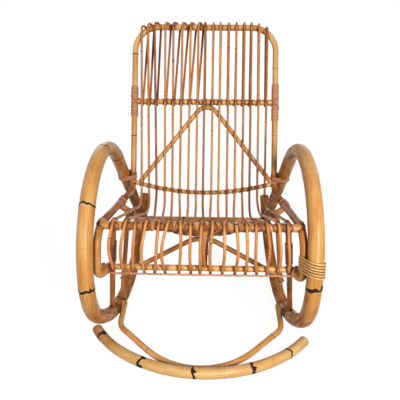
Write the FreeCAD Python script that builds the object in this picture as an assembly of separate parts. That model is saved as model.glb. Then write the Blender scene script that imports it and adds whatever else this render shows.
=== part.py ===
import FreeCAD, Part
import math
import os

from FreeCAD import Vector

# Rattan rocking chair, in millimetres. The chair faces -Y, +Z is up, X = 0 is its middle plane and the
# runners touch the floor just behind Y = 0. Left and right are as seen by someone facing the chair.

# Arm and rocker poles
LENGTH = 1080.0
POLE_DIAMETER = 44.0
POLE_HALF_SPACING = 293.0
ROCKER_RADIUS = 750.0
ROCKER_LOWEST_Y = 20.0
HOOP_CENTRE_HEIGHT = 337.0
HOOP_TOP_RADIUS = 280.0
ARM_SLOPE = math.radians(41.0)
ARM_END_Y = 420.0
STRETCHER_DIAMETER = 26.0
STRETCHER_Y = 385.0
STRETCHER_HEIGHT = 147.0

# Back and seat frame
FRAME_DIAMETER = 22.0
BACK_LEAN = math.radians(20.0)
SEAT_BEND_Y = 30.0
SEAT_BEND_HEIGHT = 410.0
SEAT_BEND_RADIUS = 55.0
BACK_LENGTH = 602.0
BACK_CORNER_RADIUS = 88.0
SEAT_CORNER = Vector(265.0, -478.0, 470.0)
SEAT_CORNER_RADIUS = 60.0
ELBOW_CORNER = Vector(271.0, -494.0, 325.0)
ELBOW_RADIUS = 20.0
ELBOW_END = Vector(250.0, -450.0, 345.0)
SPLICE_ALONG = 325.0
SPLICE_LENGTH = 60.0

# Rails and braces of the back, measured up the back from the seat bend
MID_RAIL_DIAMETER = 21.0
MID_RAIL_ALONG = 325.0
LOW_RAIL_DIAMETER = 16.0
LOW_RAIL_ALONG = 28.0
LOW_RAIL_SAG = 38.0
LOW_RAIL_FORWARD = 3.0
BRACE_DIAMETER = 18.0
BRACE_HALF_ANGLE = math.radians(38.5)
BRACE_BEND_RADIUS = 45.0
BRACE_X = 9.0

# Rails, posts and struts of the seat
FRONT_RAIL_DIAMETER = 23.0
FRONT_RAIL_Y = -442.0
FRONT_RAIL_HEIGHT = 463.0
REAR_RAIL_DIAMETER = 22.0
REAR_RAIL_Y = -150.0
REAR_RAIL_SAG = 88.0
REAR_RAIL_HALF_LENGTH = 276.0
APRON_RAIL_DIAMETER = 17.0
APRON_RAIL_Y = -450.0
APRON_RAIL_HEIGHT = 345.0
TRIM_DIAMETER = 5.6
CENTRE_POST_DIAMETER = 16.0
CENTRE_POST_X = 12.0
STRUT_DIAMETER = 17.0
STRUT_TOP_X = 231.0
STRUT_FOOT_Y = -272.0
LEG_DIAMETER = 16.0
LEG_TOP_X = 247.0
LEG_FOOT_Y = -165.0
LEG_FOOT_X = 284.0
ARCH_DIAMETER = 18.0
ARCH_SLOPE = math.radians(29.0)
ARCH_BEND_RADIUS = 110.0

# Rods
ROD_COUNT = 17
ROD_DIAMETER = 8.6
ROD_SIDES = 5
ROD_BACK_PITCH = 28.2
ROD_SEAT_PITCH = 29.6
ROD_BEND_SHARE = 0.85
APRON_LEAN = math.radians(23.0)
APRON_BULGE_HEIGHT = 408.0
APRON_BULGE_RADIUS = 90.0
REAR_STRAND_SHIFT = 15.0
REAR_STRAND_DROP = 12.0
ROD_GAP = 0.9
# Sideways wander of the hand-bent rods: over the back's top, over the seat's front rail, at the apron's
# bulge and at the apron rail
TOP_WANDER = (-11, -17, -17, -9, -5, 0, 0, 0, 0, 0, 0, 0, 0, 0, 0, 0, 0)
EDGE_WANDER = (11, 15, 6, 9, 11, 7, 7, 5, 4, 2, 2, 3, 0, -1, -7, -6, -11)
BULGE_WANDER = (-6, -3, 2, -9, 2, -15, 12, 4, 1, -5, 4, 15, 5, -3, 5, 7, -4)
APRON_WANDER = (4, 0, -4, -3, -3, -3, 1, 3, 1, -2, 2, 3, 2, 3, 2, 1, 2)

# Foot bow and its strut
BOW_DIAMETER = 34.0
BOW_FRONT_Y = -477.0
BOW_RADIUS = 415.0
BOW_HALF_CHORD = 341.0
BOW_TURN = -3.4
BOW_X = -5.0
BOW_STRUT_DIAMETER = 19.0
BOW_STRUT_SLOPE = math.radians(41.5)
BOW_STRUT_CROWN_RADIUS = 250.0
BOW_STRUT_CORNER_RADIUS = 45.0
BOW_STRUT_FRONT_HEIGHT = 10.6
BOW_STRUT_END_Y = -215.0
BOW_STRUT_END_RISE = 22.0

# Cane lashings
WRAP_THICKNESS = 2.4
UPRIGHT_WRAP_LEFT = 113.0
UPRIGHT_WRAP_RIGHT = 135.0
STRUT_WRAP_SHARES = (0.15, 0.35)
POST_WRAP_SHARES = (0.2, 0.66)
TIE_WIDTH = 19.0
LACE_DIAMETER = 3.4
LACE_SIDES = 4
LACE_LOOPS = 4
LACE_PITCH = 9.0
LACE_HEIGHT = 384.0
LACE_GAP = 1.2

# Flat sides of the poles, and how far apart poles stand that only touch
POLE_SIDES = 12
SLIM_SIDES = 8
TOUCH_GAP = 0.3

POLE_RADIUS = POLE_DIAMETER / 2
FRAME_RADIUS = FRAME_DIAMETER / 2
UPRIGHT_X = POLE_HALF_SPACING - POLE_RADIUS - FRAME_RADIUS - TOUCH_GAP
ROD_RADIUS = ROD_DIAMETER / 2
ROCKER_CENTRE_HEIGHT = ROCKER_RADIUS + POLE_RADIUS
HOOP_FRONT_Y = -LENGTH / 2 + POLE_RADIUS
MIRROR_PLANE = (Vector(0, 0, 0), Vector(1, 0, 0))
PARTS = {}


def arc_through(start, middle, end):
    return Part.Arc(start, middle, end).toShape()


def line(start, end):
    return Part.LineSegment(start, end).toShape()


def bent_path(points, radii):
    """A wire of straight runs, with a tangent arc of the given radius at each inner point."""
    edges = []
    last = points[0]
    for before, corner, after, radius in zip(points, points[1:], points[2:], radii):
        inward = (before - corner).normalize()
        onward = (after - corner).normalize()
        half = inward.getAngle(onward) / 2
        reach = radius / math.tan(half)
        middle = (inward + onward).normalize() * (radius / math.sin(half) - radius)
        arc_start = corner + inward * reach
        if (arc_start - last).Length > 0.01:
            edges.append(line(last, arc_start))
        last = corner + onward * reach
        edges.append(arc_through(arc_start, corner + middle, last))
    edges.append(line(last, points[-1]))
    return Part.Wire(edges)


def corner_reach(diameter, sides=SLIM_SIDES):
    """Distance from a many-sided pole's middle to its corners."""
    return diameter / 2 / math.cos(math.pi / sides)


def tube(wire, diameter, sides=SLIM_SIDES):
    """A many-sided solid swept along the wire, with its flats lying on the round pole's surface."""
    first = wire.OrderedEdges[0]
    start = wire.OrderedVertexes[0].Point
    heading = first.tangentAt(first.FirstParameter)
    if (first.valueAt(first.FirstParameter) - start).Length > 0.01:
        heading = first.tangentAt(first.LastParameter) * -1
    reference = Vector(0, 1, 0) if abs(heading.x) > 0.9 else Vector(1, 0, 0)
    across = reference.cross(heading).normalize()
    upward = heading.cross(across).normalize()
    corner_radius = corner_reach(diameter, sides)
    corners = []
    for side in range(sides + 1):
        turn = 2 * math.pi * (side + 0.5) / sides
        corners.append(start + (across * math.cos(turn) + upward * math.sin(turn)) * corner_radius)
    return wire.makePipeShell([Part.makePolygon(corners)], True, False)


def bar(start, end, diameter):
    return tube(Part.Wire([line(start, end)]), diameter)


def largest(shape):
    return max(shape.Solids, key=lambda solid: solid.Volume)


def coped(piece, *others):
    """The piece with its ends hollowed to seat on the others."""
    for other in others:
        piece = piece.cut(other)
    return largest(piece)


def mirrored(shape):
    return shape.mirror(*MIRROR_PLANE)


def flipped(point):
    return Vector(-point.x, point.y, point.z)


def add(name, shape):
    PARTS[name] = shape


def add_pair(stem, right_shape):
    add(stem + "_right", right_shape)
    add(stem + "_left", mirrored(right_shape))


def back_point(x, along, forward=0.0):
    """A point on the leaning back: along runs up it from the seat bend, forward towards the sitter."""
    y = SEAT_BEND_Y + along * math.sin(BACK_LEAN) - forward * math.cos(BACK_LEAN)
    z = SEAT_BEND_HEIGHT + along * math.cos(BACK_LEAN) + forward * math.sin(BACK_LEAN)
    return Vector(x, y, z)


def sag_below_ends(x, half_span, sag):
    """How far a rail bent to a circular arc hangs below its ends at x."""
    radius = (half_span ** 2 + sag ** 2) / (2 * sag)
    return math.sqrt(radius ** 2 - x ** 2) - (radius - sag)


def rocker_height(y):
    """Height of the runner's centre line over the floor."""
    return ROCKER_CENTRE_HEIGHT - math.sqrt(ROCKER_RADIUS ** 2 - (y - ROCKER_LOWEST_Y) ** 2)


def side_rail_point(y):
    """The seat side rail's centre line at y, on the right."""
    bend = Vector(UPRIGHT_X, SEAT_BEND_Y, SEAT_BEND_HEIGHT)
    share = (y - bend.y) / (SEAT_CORNER.y - bend.y)
    return bend + (SEAT_CORNER - bend) * share


def make_arm_rocker():
    """One bent pole in a vertical plane: runner, front hoop and arm, the arm's end coped on the runner."""
    x = POLE_HALF_SPACING

    def on_circle(centre_y, centre_z, radius, angle):
        return Vector(x, centre_y + radius * math.sin(angle), centre_z - radius * math.cos(angle))

    def arc_on(circle, start, end):
        return arc_through(*[on_circle(*circle, angle) for angle in (start, (start + end) / 2, end)])

    # the lower hoop's circle touches the front and lies inside the rocker's circle
    fall = ROCKER_CENTRE_HEIGHT - HOOP_CENTRE_HEIGHT
    front_reach = ROCKER_LOWEST_Y - HOOP_FRONT_Y
    low_radius = (ROCKER_RADIUS ** 2 - fall ** 2 - front_reach ** 2) / (2 * (ROCKER_RADIUS - front_reach))
    low_y = HOOP_FRONT_Y + low_radius
    low_angle = math.atan2(low_y - ROCKER_LOWEST_Y, fall)
    tail_angle = math.asin((LENGTH / 2 - ROCKER_LOWEST_Y) / (ROCKER_RADIUS + POLE_RADIUS))
    rocker = (ROCKER_LOWEST_Y, ROCKER_CENTRE_HEIGHT, ROCKER_RADIUS)
    low_hoop = (low_y, HOOP_CENTRE_HEIGHT, low_radius)
    top_hoop = (HOOP_FRONT_Y + HOOP_TOP_RADIUS, HOOP_CENTRE_HEIGHT, HOOP_TOP_RADIUS)
    front_angle = -math.pi / 2
    arm_angle = -math.pi - ARM_SLOPE
    runner_arc = arc_on(rocker, tail_angle, low_angle)
    low_arc = arc_on(low_hoop, low_angle, front_angle)
    top_arc = arc_on(top_hoop, front_angle, arm_angle)
    arm_start = on_circle(*top_hoop, arm_angle)
    arm_end = Vector(x, ARM_END_Y, arm_start.z - (ARM_END_Y - arm_start.y) * math.tan(ARM_SLOPE))
    runner_and_hoop = tube(Part.Wire([runner_arc, low_arc, top_arc]), POLE_DIAMETER, POLE_SIDES)
    seat_for_end = tube(Part.Wire([runner_arc]), POLE_DIAMETER + 2 * TOUCH_GAP, POLE_SIDES)
    arm = coped(tube(Part.Wire([line(arm_start, arm_end)]), POLE_DIAMETER, POLE_SIDES), seat_for_end)
    return largest(runner_and_hoop.fuse(arm).removeSplitter())


def make_side_frame():
    """Lower upright, seat side rail, front drop and elbow, bent from one pole."""
    points = [
        back_point(UPRIGHT_X, SPLICE_ALONG + SPLICE_LENGTH),
        back_point(UPRIGHT_X, 0),
        SEAT_CORNER,
        ELBOW_CORNER,
        ELBOW_END,
    ]
    pole = tube(bent_path(points, [SEAT_BEND_RADIUS, SEAT_CORNER_RADIUS, ELBOW_RADIUS]), FRAME_DIAMETER)
    return largest(pole.cut(splice_block(1)))


def make_back_hoop():
    """The upper back frame, its feet scarfed onto the lower uprights."""
    foot = SPLICE_ALONG - SPLICE_LENGTH
    points = [
        back_point(-UPRIGHT_X, foot),
        back_point(-UPRIGHT_X, BACK_LENGTH),
        back_point(UPRIGHT_X, BACK_LENGTH),
        back_point(UPRIGHT_X, foot),
    ]
    pole = tube(bent_path(points, [BACK_CORNER_RADIUS, BACK_CORNER_RADIUS]), FRAME_DIAMETER)
    return largest(pole.cut(splice_block(-1)))


def splice_block(side):
    """A block on one side of the slanting cut where the uprights are spliced."""
    size = 4 * SPLICE_LENGTH
    width = 4 * UPRIGHT_X
    slant = math.atan2(SPLICE_LENGTH, FRAME_DIAMETER)
    upward = back_point(0, 1) - back_point(0, 0)
    forward = back_point(0, 0, 1) - back_point(0, 0)
    normal = upward * math.cos(slant) + forward * math.sin(slant)
    block = Part.makeBox(width, size, size, Vector(-width / 2, -size / 2, 0))
    turn = FreeCAD.Rotation(Vector(1, 0, 0), normal.cross(Vector(1, 0, 0)) * -side, normal * side, "ZXY")
    block.Placement = FreeCAD.Placement(back_point(0, SPLICE_ALONG), turn)
    return block


def make_back_brace(mid_rail_underside):
    """The upside-down V behind the rods, bent from one pole under the middle rail."""
    top = mid_rail_underside - TOUCH_GAP - BRACE_DIAMETER / 2
    corner = top - BRACE_BEND_RADIUS + BRACE_BEND_RADIUS / math.sin(BRACE_HALF_ANGLE)
    half_width = (corner - LOW_RAIL_ALONG) * math.tan(BRACE_HALF_ANGLE)
    points = [
        back_point(BRACE_X - half_width, LOW_RAIL_ALONG),
        back_point(BRACE_X, corner),
        back_point(BRACE_X + half_width, LOW_RAIL_ALONG),
    ]
    return tube(bent_path(points, [BRACE_BEND_RADIUS]), BRACE_DIAMETER)


def low_rail_along(x):
    return LOW_RAIL_ALONG - sag_below_ends(x, UPRIGHT_X, LOW_RAIL_SAG)


def make_low_rail():
    def on_rail(x):
        return back_point(x, low_rail_along(x), LOW_RAIL_FORWARD)

    path = Part.Wire([arc_through(on_rail(-UPRIGHT_X), on_rail(0), on_rail(UPRIGHT_X))])
    return tube(path, LOW_RAIL_DIAMETER)


def rear_rail_slope(x):
    """Steepness of the sagging rear rail at x."""
    half_span = side_rail_point(REAR_RAIL_Y).x
    radius = (half_span ** 2 + REAR_RAIL_SAG ** 2) / (2 * REAR_RAIL_SAG)
    return math.asin(abs(x) / radius)


def rear_rail_height(x):
    """The sagging rear rail hangs just under the side rails."""
    side = side_rail_point(REAR_RAIL_Y)
    apart = corner_reach(FRAME_DIAMETER) + corner_reach(REAR_RAIL_DIAMETER) + TOUCH_GAP
    under_side_rail = side.z - apart / math.cos(rear_rail_slope(side.x))
    return under_side_rail - sag_below_ends(x, side.x, REAR_RAIL_SAG)


def make_rear_rail():
    def on_rail(x):
        return Vector(x, REAR_RAIL_Y, rear_rail_height(x))

    ends = REAR_RAIL_HALF_LENGTH
    path = Part.Wire([arc_through(on_rail(-ends), on_rail(0), on_rail(ends))])
    return tube(path, REAR_RAIL_DIAMETER)


def clear_of_top_rail(x, standoff):
    """How far up the back a rod at x passes over the back hoop, standing off it square to its line."""
    past_corner = abs(x) - (UPRIGHT_X - BACK_CORNER_RADIUS)
    if past_corner <= 0:
        return BACK_LENGTH + standoff
    outside = BACK_CORNER_RADIUS + standoff
    return BACK_LENGTH - BACK_CORNER_RADIUS + math.sqrt(outside ** 2 - past_corner ** 2)


def crossing(point_a, heading_a, point_b, heading_b):
    """Where two lines in the YZ plane cross; each is a point and a heading, as (y, z)."""
    cross = heading_a[0] * heading_b[1] - heading_a[1] * heading_b[0]
    gap = (point_b[0] - point_a[0], point_b[1] - point_a[1])
    run = (gap[0] * heading_b[1] - gap[1] * heading_b[0]) / cross
    return point_a[0] + heading_a[0] * run, point_a[1] + heading_a[1] * run


def make_rod(number):
    """One thin rod: up behind the back, over its top, down the back, over the seat and down the apron."""
    place = number - (ROD_COUNT - 1) / 2
    x_back = place * ROD_BACK_PITCH
    x_top = x_back + TOP_WANDER[number]
    x_edge = place * ROD_SEAT_PITCH + EDGE_WANDER[number]
    x_bulge = place * ROD_SEAT_PITCH + BULGE_WANDER[number]
    x_apron = place * ROD_SEAT_PITCH + APRON_WANDER[number]
    standoff = corner_reach(FRAME_DIAMETER) + ROD_RADIUS + ROD_GAP

    # over the back hoop; towards the left the rear strand leans in as it climbs
    x_rear = x_top + (REAR_STRAND_SHIFT if place < 0 else 0.0)
    over = max(clear_of_top_rail(x, standoff) for x in (x_rear, x_top))
    rear_end = back_point((x_back + x_top) / 2, MID_RAIL_ALONG - REAR_STRAND_DROP, -standoff)

    # the seat line lies on the rear rail and the front rail
    rear_clear = corner_reach(REAR_RAIL_DIAMETER) + ROD_RADIUS + ROD_GAP
    x_on_rail = (2 * x_back + x_edge) / 3
    rear_top = rear_rail_height(x_on_rail) + rear_clear / math.cos(rear_rail_slope(x_on_rail))
    front_clear = corner_reach(FRONT_RAIL_DIAMETER) + ROD_RADIUS + ROD_GAP
    seat_slope = math.atan2(FRONT_RAIL_HEIGHT + front_clear - rear_top, REAR_RAIL_Y - FRONT_RAIL_Y)
    seat_rise = math.tan(seat_slope)
    front_top = FRONT_RAIL_HEIGHT + front_clear / math.cos(seat_slope)
    seat_heading = (-1.0, seat_rise)
    back_low = back_point(0, 0, standoff)
    back_heading = (math.sin(BACK_LEAN), math.cos(BACK_LEAN))
    bend_y, bend_z = crossing((back_low.y, back_low.z), back_heading, (FRONT_RAIL_Y, front_top), seat_heading)
    bend_along = (bend_z - back_low.z) / math.cos(BACK_LEAN)
    bend_turn = math.pi / 2 + seat_slope - BACK_LEAN
    bend_reach = ROD_BEND_SHARE * (low_rail_along(x_back) - bend_along)
    bend_radius = bend_reach / math.tan(bend_turn / 2)

    # round the front rail, out to the bulge of the apron and back in to touch the apron rail
    apron_heading = (-math.sin(APRON_LEAN), -math.cos(APRON_LEAN))
    edge_start = (FRONT_RAIL_Y - front_clear * math.cos(APRON_LEAN),
                  FRONT_RAIL_HEIGHT + front_clear * math.sin(APRON_LEAN))
    edge_y, edge_z = crossing((FRONT_RAIL_Y, front_top), seat_heading, edge_start, apron_heading)
    bulge_y = edge_start[0] - (edge_start[1] - APRON_BULGE_HEIGHT) * math.tan(APRON_LEAN)
    apron_clear = corner_reach(APRON_RAIL_DIAMETER) + ROD_RADIUS + ROD_GAP
    to_rail = (APRON_RAIL_Y - bulge_y, APRON_BULGE_HEIGHT - APRON_RAIL_HEIGHT)
    inward = math.atan2(*to_rail) - math.asin(apron_clear / math.hypot(*to_rail))
    end_height = APRON_RAIL_HEIGHT - APRON_RAIL_DIAMETER / 2 - TRIM_DIAMETER / 2
    apron_y = bulge_y + (APRON_BULGE_HEIGHT - end_height) * math.tan(inward)
    points = [
        rear_end,
        back_point(x_rear, over, -standoff),
        back_point(x_top, over, standoff),
        Vector(x_back, bend_y, bend_z),
        Vector(x_edge, edge_y, edge_z),
        Vector(x_bulge, bulge_y, APRON_BULGE_HEIGHT),
        Vector(x_apron, apron_y, end_height),
    ]
    radii = [standoff, standoff, bend_radius, front_clear, APRON_BULGE_RADIUS]
    return tube(bent_path(points, radii), ROD_DIAMETER, ROD_SIDES)


def make_trim():
    """The thin strip across the rods' lower ends."""
    rod_y = APRON_RAIL_Y - corner_reach(APRON_RAIL_DIAMETER) - ROD_RADIUS - ROD_GAP
    y = rod_y - ROD_RADIUS - TRIM_DIAMETER / 2
    z = APRON_RAIL_HEIGHT - APRON_RAIL_DIAMETER / 2
    half = (ROD_COUNT - 1) / 2 * ROD_SEAT_PITCH + ROD_RADIUS
    return bar(Vector(-half, y, z), Vector(half, y, z), TRIM_DIAMETER)


def strut_line():
    """From the seat front rail down and back to the top of the runner."""
    top = Vector(STRUT_TOP_X, FRONT_RAIL_Y, FRONT_RAIL_HEIGHT)
    foot = Vector(POLE_HALF_SPACING, STRUT_FOOT_Y, rocker_height(STRUT_FOOT_Y))
    return top, foot


def leg_line():
    """From the seat rear rail's end down to the top of the runner."""
    top = Vector(LEG_TOP_X, REAR_RAIL_Y, rear_rail_height(LEG_TOP_X))
    foot = Vector(LEG_FOOT_X, LEG_FOOT_Y, rocker_height(LEG_FOOT_Y))
    return top, foot


def make_arch():
    """The brace bent to a low arch from leg to leg, its crown under the middle of the rear rail."""
    top, foot = leg_line()
    crown = rear_rail_height(0) - (REAR_RAIL_DIAMETER + ARCH_DIAMETER) / 2 - TOUCH_GAP
    corner = crown + ARCH_BEND_RADIUS / math.cos(ARCH_SLOPE) - ARCH_BEND_RADIUS
    # where the sloping side meets the leaning leg
    spread = (foot.x - top.x) / (top.z - foot.z)
    fall = (top.x + spread * (top.z - corner)) / (1 / math.tan(ARCH_SLOPE) - spread)
    share = (top.z - corner + fall) / (top.z - foot.z)
    end = top + (foot - top) * share
    points = [flipped(end), Vector(0, REAR_RAIL_Y, corner), end]
    return tube(bent_path(points, [ARCH_BEND_RADIUS]), ARCH_DIAMETER)


def make_bow():
    """The thick foot bow lying on the floor, a little askew, its ends cut off free."""
    centre_y = BOW_FRONT_Y + BOW_RADIUS
    height = BOW_DIAMETER / 2
    end_y = centre_y - math.sqrt(BOW_RADIUS ** 2 - BOW_HALF_CHORD ** 2)
    left = Vector(-BOW_HALF_CHORD, end_y, height)
    right = Vector(BOW_HALF_CHORD, end_y, height)
    bow = tube(Part.Wire([arc_through(left, Vector(0, BOW_FRONT_Y, height), right)]), BOW_DIAMETER)
    bow.rotate(Vector(0, end_y, 0), Vector(0, 0, 1), BOW_TURN)
    bow.translate(Vector(BOW_X, 0, 0))
    return bow


def make_bow_strut():
    """The thinner U that carries the bow: along both runners' inner sides and round behind the bow."""
    front_y = BOW_FRONT_Y + BOW_DIAMETER / 2 + corner_reach(BOW_STRUT_DIAMETER) + TOUCH_GAP
    x = POLE_HALF_SPACING - POLE_RADIUS - BOW_STRUT_DIAMETER / 2 - TOUCH_GAP
    end_height = rocker_height(BOW_STRUT_END_Y) + BOW_STRUT_END_RISE
    tilt = math.atan2(end_height - BOW_STRUT_FRONT_HEIGHT, BOW_STRUT_END_Y - front_y)

    def tilted(px, along):
        """A point of the U's plane, along running back and up from the crown."""
        return Vector(px, front_y + along * math.cos(tilt), BOW_STRUT_FRONT_HEIGHT + along * math.sin(tilt))

    # the two slanting sides would meet in front of the crown
    meet = -BOW_STRUT_CROWN_RADIUS * (1 / math.cos(BOW_STRUT_SLOPE) - 1)
    end = tilted(x, (BOW_STRUT_END_Y - front_y) / math.cos(tilt))
    corner = tilted(x, meet + x * math.tan(BOW_STRUT_SLOPE))
    points = [end, corner, tilted(0, meet), flipped(corner), flipped(end)]
    radii = [BOW_STRUT_CORNER_RADIUS, BOW_STRUT_CROWN_RADIUS, BOW_STRUT_CORNER_RADIUS]
    return tube(bent_path(points, radii), BOW_STRUT_DIAMETER)


def sleeve(start, end, pole_diameter, *inside):
    """A close wrap of cane as one sleeve round a pole, hollowed by what it is wound on."""
    return coped(bar(start, end, pole_diameter + 2 * WRAP_THICKNESS), *inside)


def part_sleeve(pole_line, shares, pole_diameter, pole):
    """A sleeve over the stretch of a straight pole between two shares of its length."""
    top, foot = pole_line
    start, end = [top + (foot - top) * share for share in shares]
    return sleeve(start, end, pole_diameter, pole)


def make_upright_wrap(length, side, *inside):
    x = side * UPRIGHT_X
    start = back_point(x, SPLICE_ALONG - length / 2)
    return sleeve(start, back_point(x, SPLICE_ALONG + length / 2), FRAME_DIAMETER, *inside)


class Belt:
    """The loop that a lashing makes round two poles side by side, square to an axis along them."""

    def __init__(self, big, big_radius, small, small_radius, axis):
        self.axis = axis.normalize()
        across = small - big
        across = across - self.axis * across.dot(self.axis)
        self.distance = across.Length
        self.across = across.normalize()
        self.along = self.axis.cross(self.across)
        self.big = big
        self.radii = (big_radius, small_radius)
        # the belt leaves both circles at this angle from the line between them
        self.leave = math.acos((big_radius - small_radius) / self.distance)
        straight = math.sqrt(self.distance ** 2 - (big_radius - small_radius) ** 2)
        far = big_radius * (math.pi - self.leave)
        near = small_radius * self.leave
        self.steps = (far, straight, near, near, straight, far)
        self.length = sum(self.steps)

    def stations(self):
        """Circle and angle of each point where the loop changes, from the big pole's far side round."""
        leave = self.leave
        return ((0, -math.pi), (0, -leave), (1, -leave), (1, 0.0), (1, leave), (0, leave))

    def point(self, circle, angle):
        offset = Vector(math.cos(angle), math.sin(angle), 0) * self.radii[circle]
        return self.big + self.across * (offset.x + circle * self.distance) + self.along * offset.y

    def heading(self, angle):
        return self.along * math.cos(angle) - self.across * math.sin(angle)


def arc_from_corner(start, corner, end):
    """The arc that touches both lines from the corner, at start and at end."""
    middle = (start + end) / 2
    half = (end - start).Length / 2
    rise = (corner - middle).Length
    bulge = half * math.tan(math.atan2(rise, half) / 2)
    return arc_through(start, middle + (corner - middle).normalize() * bulge, end)


def biarc(start, heading, end, end_heading):
    """Two arcs that leave start and reach end in the given headings and join smoothly."""
    gap = end - start
    lean = gap.dot(heading + end_heading)
    spread = 2 * (1 - heading.dot(end_heading))
    reach = (math.sqrt(lean ** 2 + spread * gap.dot(gap)) - lean) / spread
    corner = start + heading * reach
    end_corner = end - end_heading * reach
    joint = (corner + end_corner) / 2
    return [arc_from_corner(start, corner, joint), arc_from_corner(joint, end_corner, end)]


def wind(belt, loops, pitch, diameter):
    """One strand wound round a belt, as edges, with a straight end of one diameter at each side."""
    rise = pitch / belt.length
    marks = []
    climb = -loops * pitch / 2
    for _ in range(loops):
        for (circle, angle), step in zip(belt.stations(), belt.steps):
            heading = (belt.heading(angle) + belt.axis * rise).normalize()
            marks.append((belt.point(circle, angle) + belt.axis * climb, heading))
            climb += step * rise
    first_heading = marks[0][1]
    marks.append((belt.point(0, -math.pi) + belt.axis * climb, first_heading))
    edges = [line(marks[0][0] - first_heading * diameter, marks[0][0])]
    for (start, heading), (end, end_heading) in zip(marks, marks[1:]):
        if heading.getAngle(end_heading) < 0.01:
            edges.append(line(start, end))
        else:
            edges.extend(biarc(start, heading, end, end_heading))
    edges.append(line(marks[-1][0], marks[-1][0] + first_heading * diameter))
    return edges


def least_gap(edges, diameter, points_apart):
    """The smallest space between turns of a strand, measured between points some way apart along it."""
    points_per_edge = 6
    points = []
    for edge in edges:
        points.extend(edge.discretize(points_per_edge)[:-1])
    nearest = min((a - b).Length for i, a in enumerate(points) for b in points[i + points_apart:])
    return nearest - 2 * corner_reach(diameter, LACE_SIDES)


def make_hoop_wrap():
    """The open winding that holds the right front drop of the seat frame against the hoop."""
    hoop_y = HOOP_FRONT_Y + HOOP_TOP_RADIUS
    turn = math.asin((LACE_HEIGHT - HOOP_CENTRE_HEIGHT) / HOOP_TOP_RADIUS)
    hoop = Vector(POLE_HALF_SPACING, hoop_y - HOOP_TOP_RADIUS * math.cos(turn), LACE_HEIGHT)
    share = (SEAT_CORNER.z - LACE_HEIGHT) / (SEAT_CORNER.z - ELBOW_CORNER.z)
    drop = SEAT_CORNER + (ELBOW_CORNER - SEAT_CORNER) * share
    lace = corner_reach(LACE_DIAMETER, LACE_SIDES) + LACE_GAP
    hoop_reach = corner_reach(POLE_DIAMETER, POLE_SIDES)
    belt = Belt(hoop, hoop_reach + lace, drop, corner_reach(FRAME_DIAMETER) + lace,
                Vector(0, math.sin(turn), math.cos(turn)))
    edges = wind(belt, LACE_LOOPS, LACE_PITCH, LACE_DIAMETER)
    gap = least_gap(edges, LACE_DIAMETER, points_apart=40)
    print("hoop wrap, least gap between turns:", round(gap, 2), "mm")
    return tube(Part.Wire(edges), LACE_DIAMETER, LACE_SIDES)


def make_arm_tie(*inside):
    """The lashing of the upright to the arm where they cross: a jacket round both, cut to a narrow band."""
    arm_start_y = HOOP_FRONT_Y + HOOP_TOP_RADIUS + HOOP_TOP_RADIUS * math.sin(ARM_SLOPE)
    arm_start_z = HOOP_CENTRE_HEIGHT + HOOP_TOP_RADIUS * math.cos(ARM_SLOPE)
    arm_heading = (math.cos(ARM_SLOPE), -math.sin(ARM_SLOPE))
    upright_heading = (math.sin(BACK_LEAN), math.cos(BACK_LEAN))
    y, z = crossing((arm_start_y, arm_start_z), arm_heading, (SEAT_BEND_Y, SEAT_BEND_HEIGHT), upright_heading)
    size = 4 * POLE_DIAMETER

    def jacket(x, heading, diameter, sides):
        run = Vector(0, *heading) * (size / 2)
        middle = Vector(x, y, z)
        return tube(Part.Wire([line(middle - run, middle + run)]), diameter + 2 * WRAP_THICKNESS, sides)

    band = Part.makeBox(size, size, TIE_WIDTH, Vector(-size / 2, -size / 2, -TIE_WIDTH / 2))
    halfway = (math.pi / 2 - ARM_SLOPE - BACK_LEAN) / 2
    turn = FreeCAD.Rotation(Vector(1, 0, 0), math.degrees(halfway))
    band.Placement = FreeCAD.Placement(Vector(POLE_HALF_SPACING - POLE_RADIUS, y, z), turn)
    both = jacket(POLE_HALF_SPACING, arm_heading, POLE_DIAMETER, POLE_SIDES).fuse(
        jacket(UPRIGHT_X, upright_heading, FRAME_DIAMETER, SLIM_SIDES))
    return coped(both.common(band), *inside)


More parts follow.
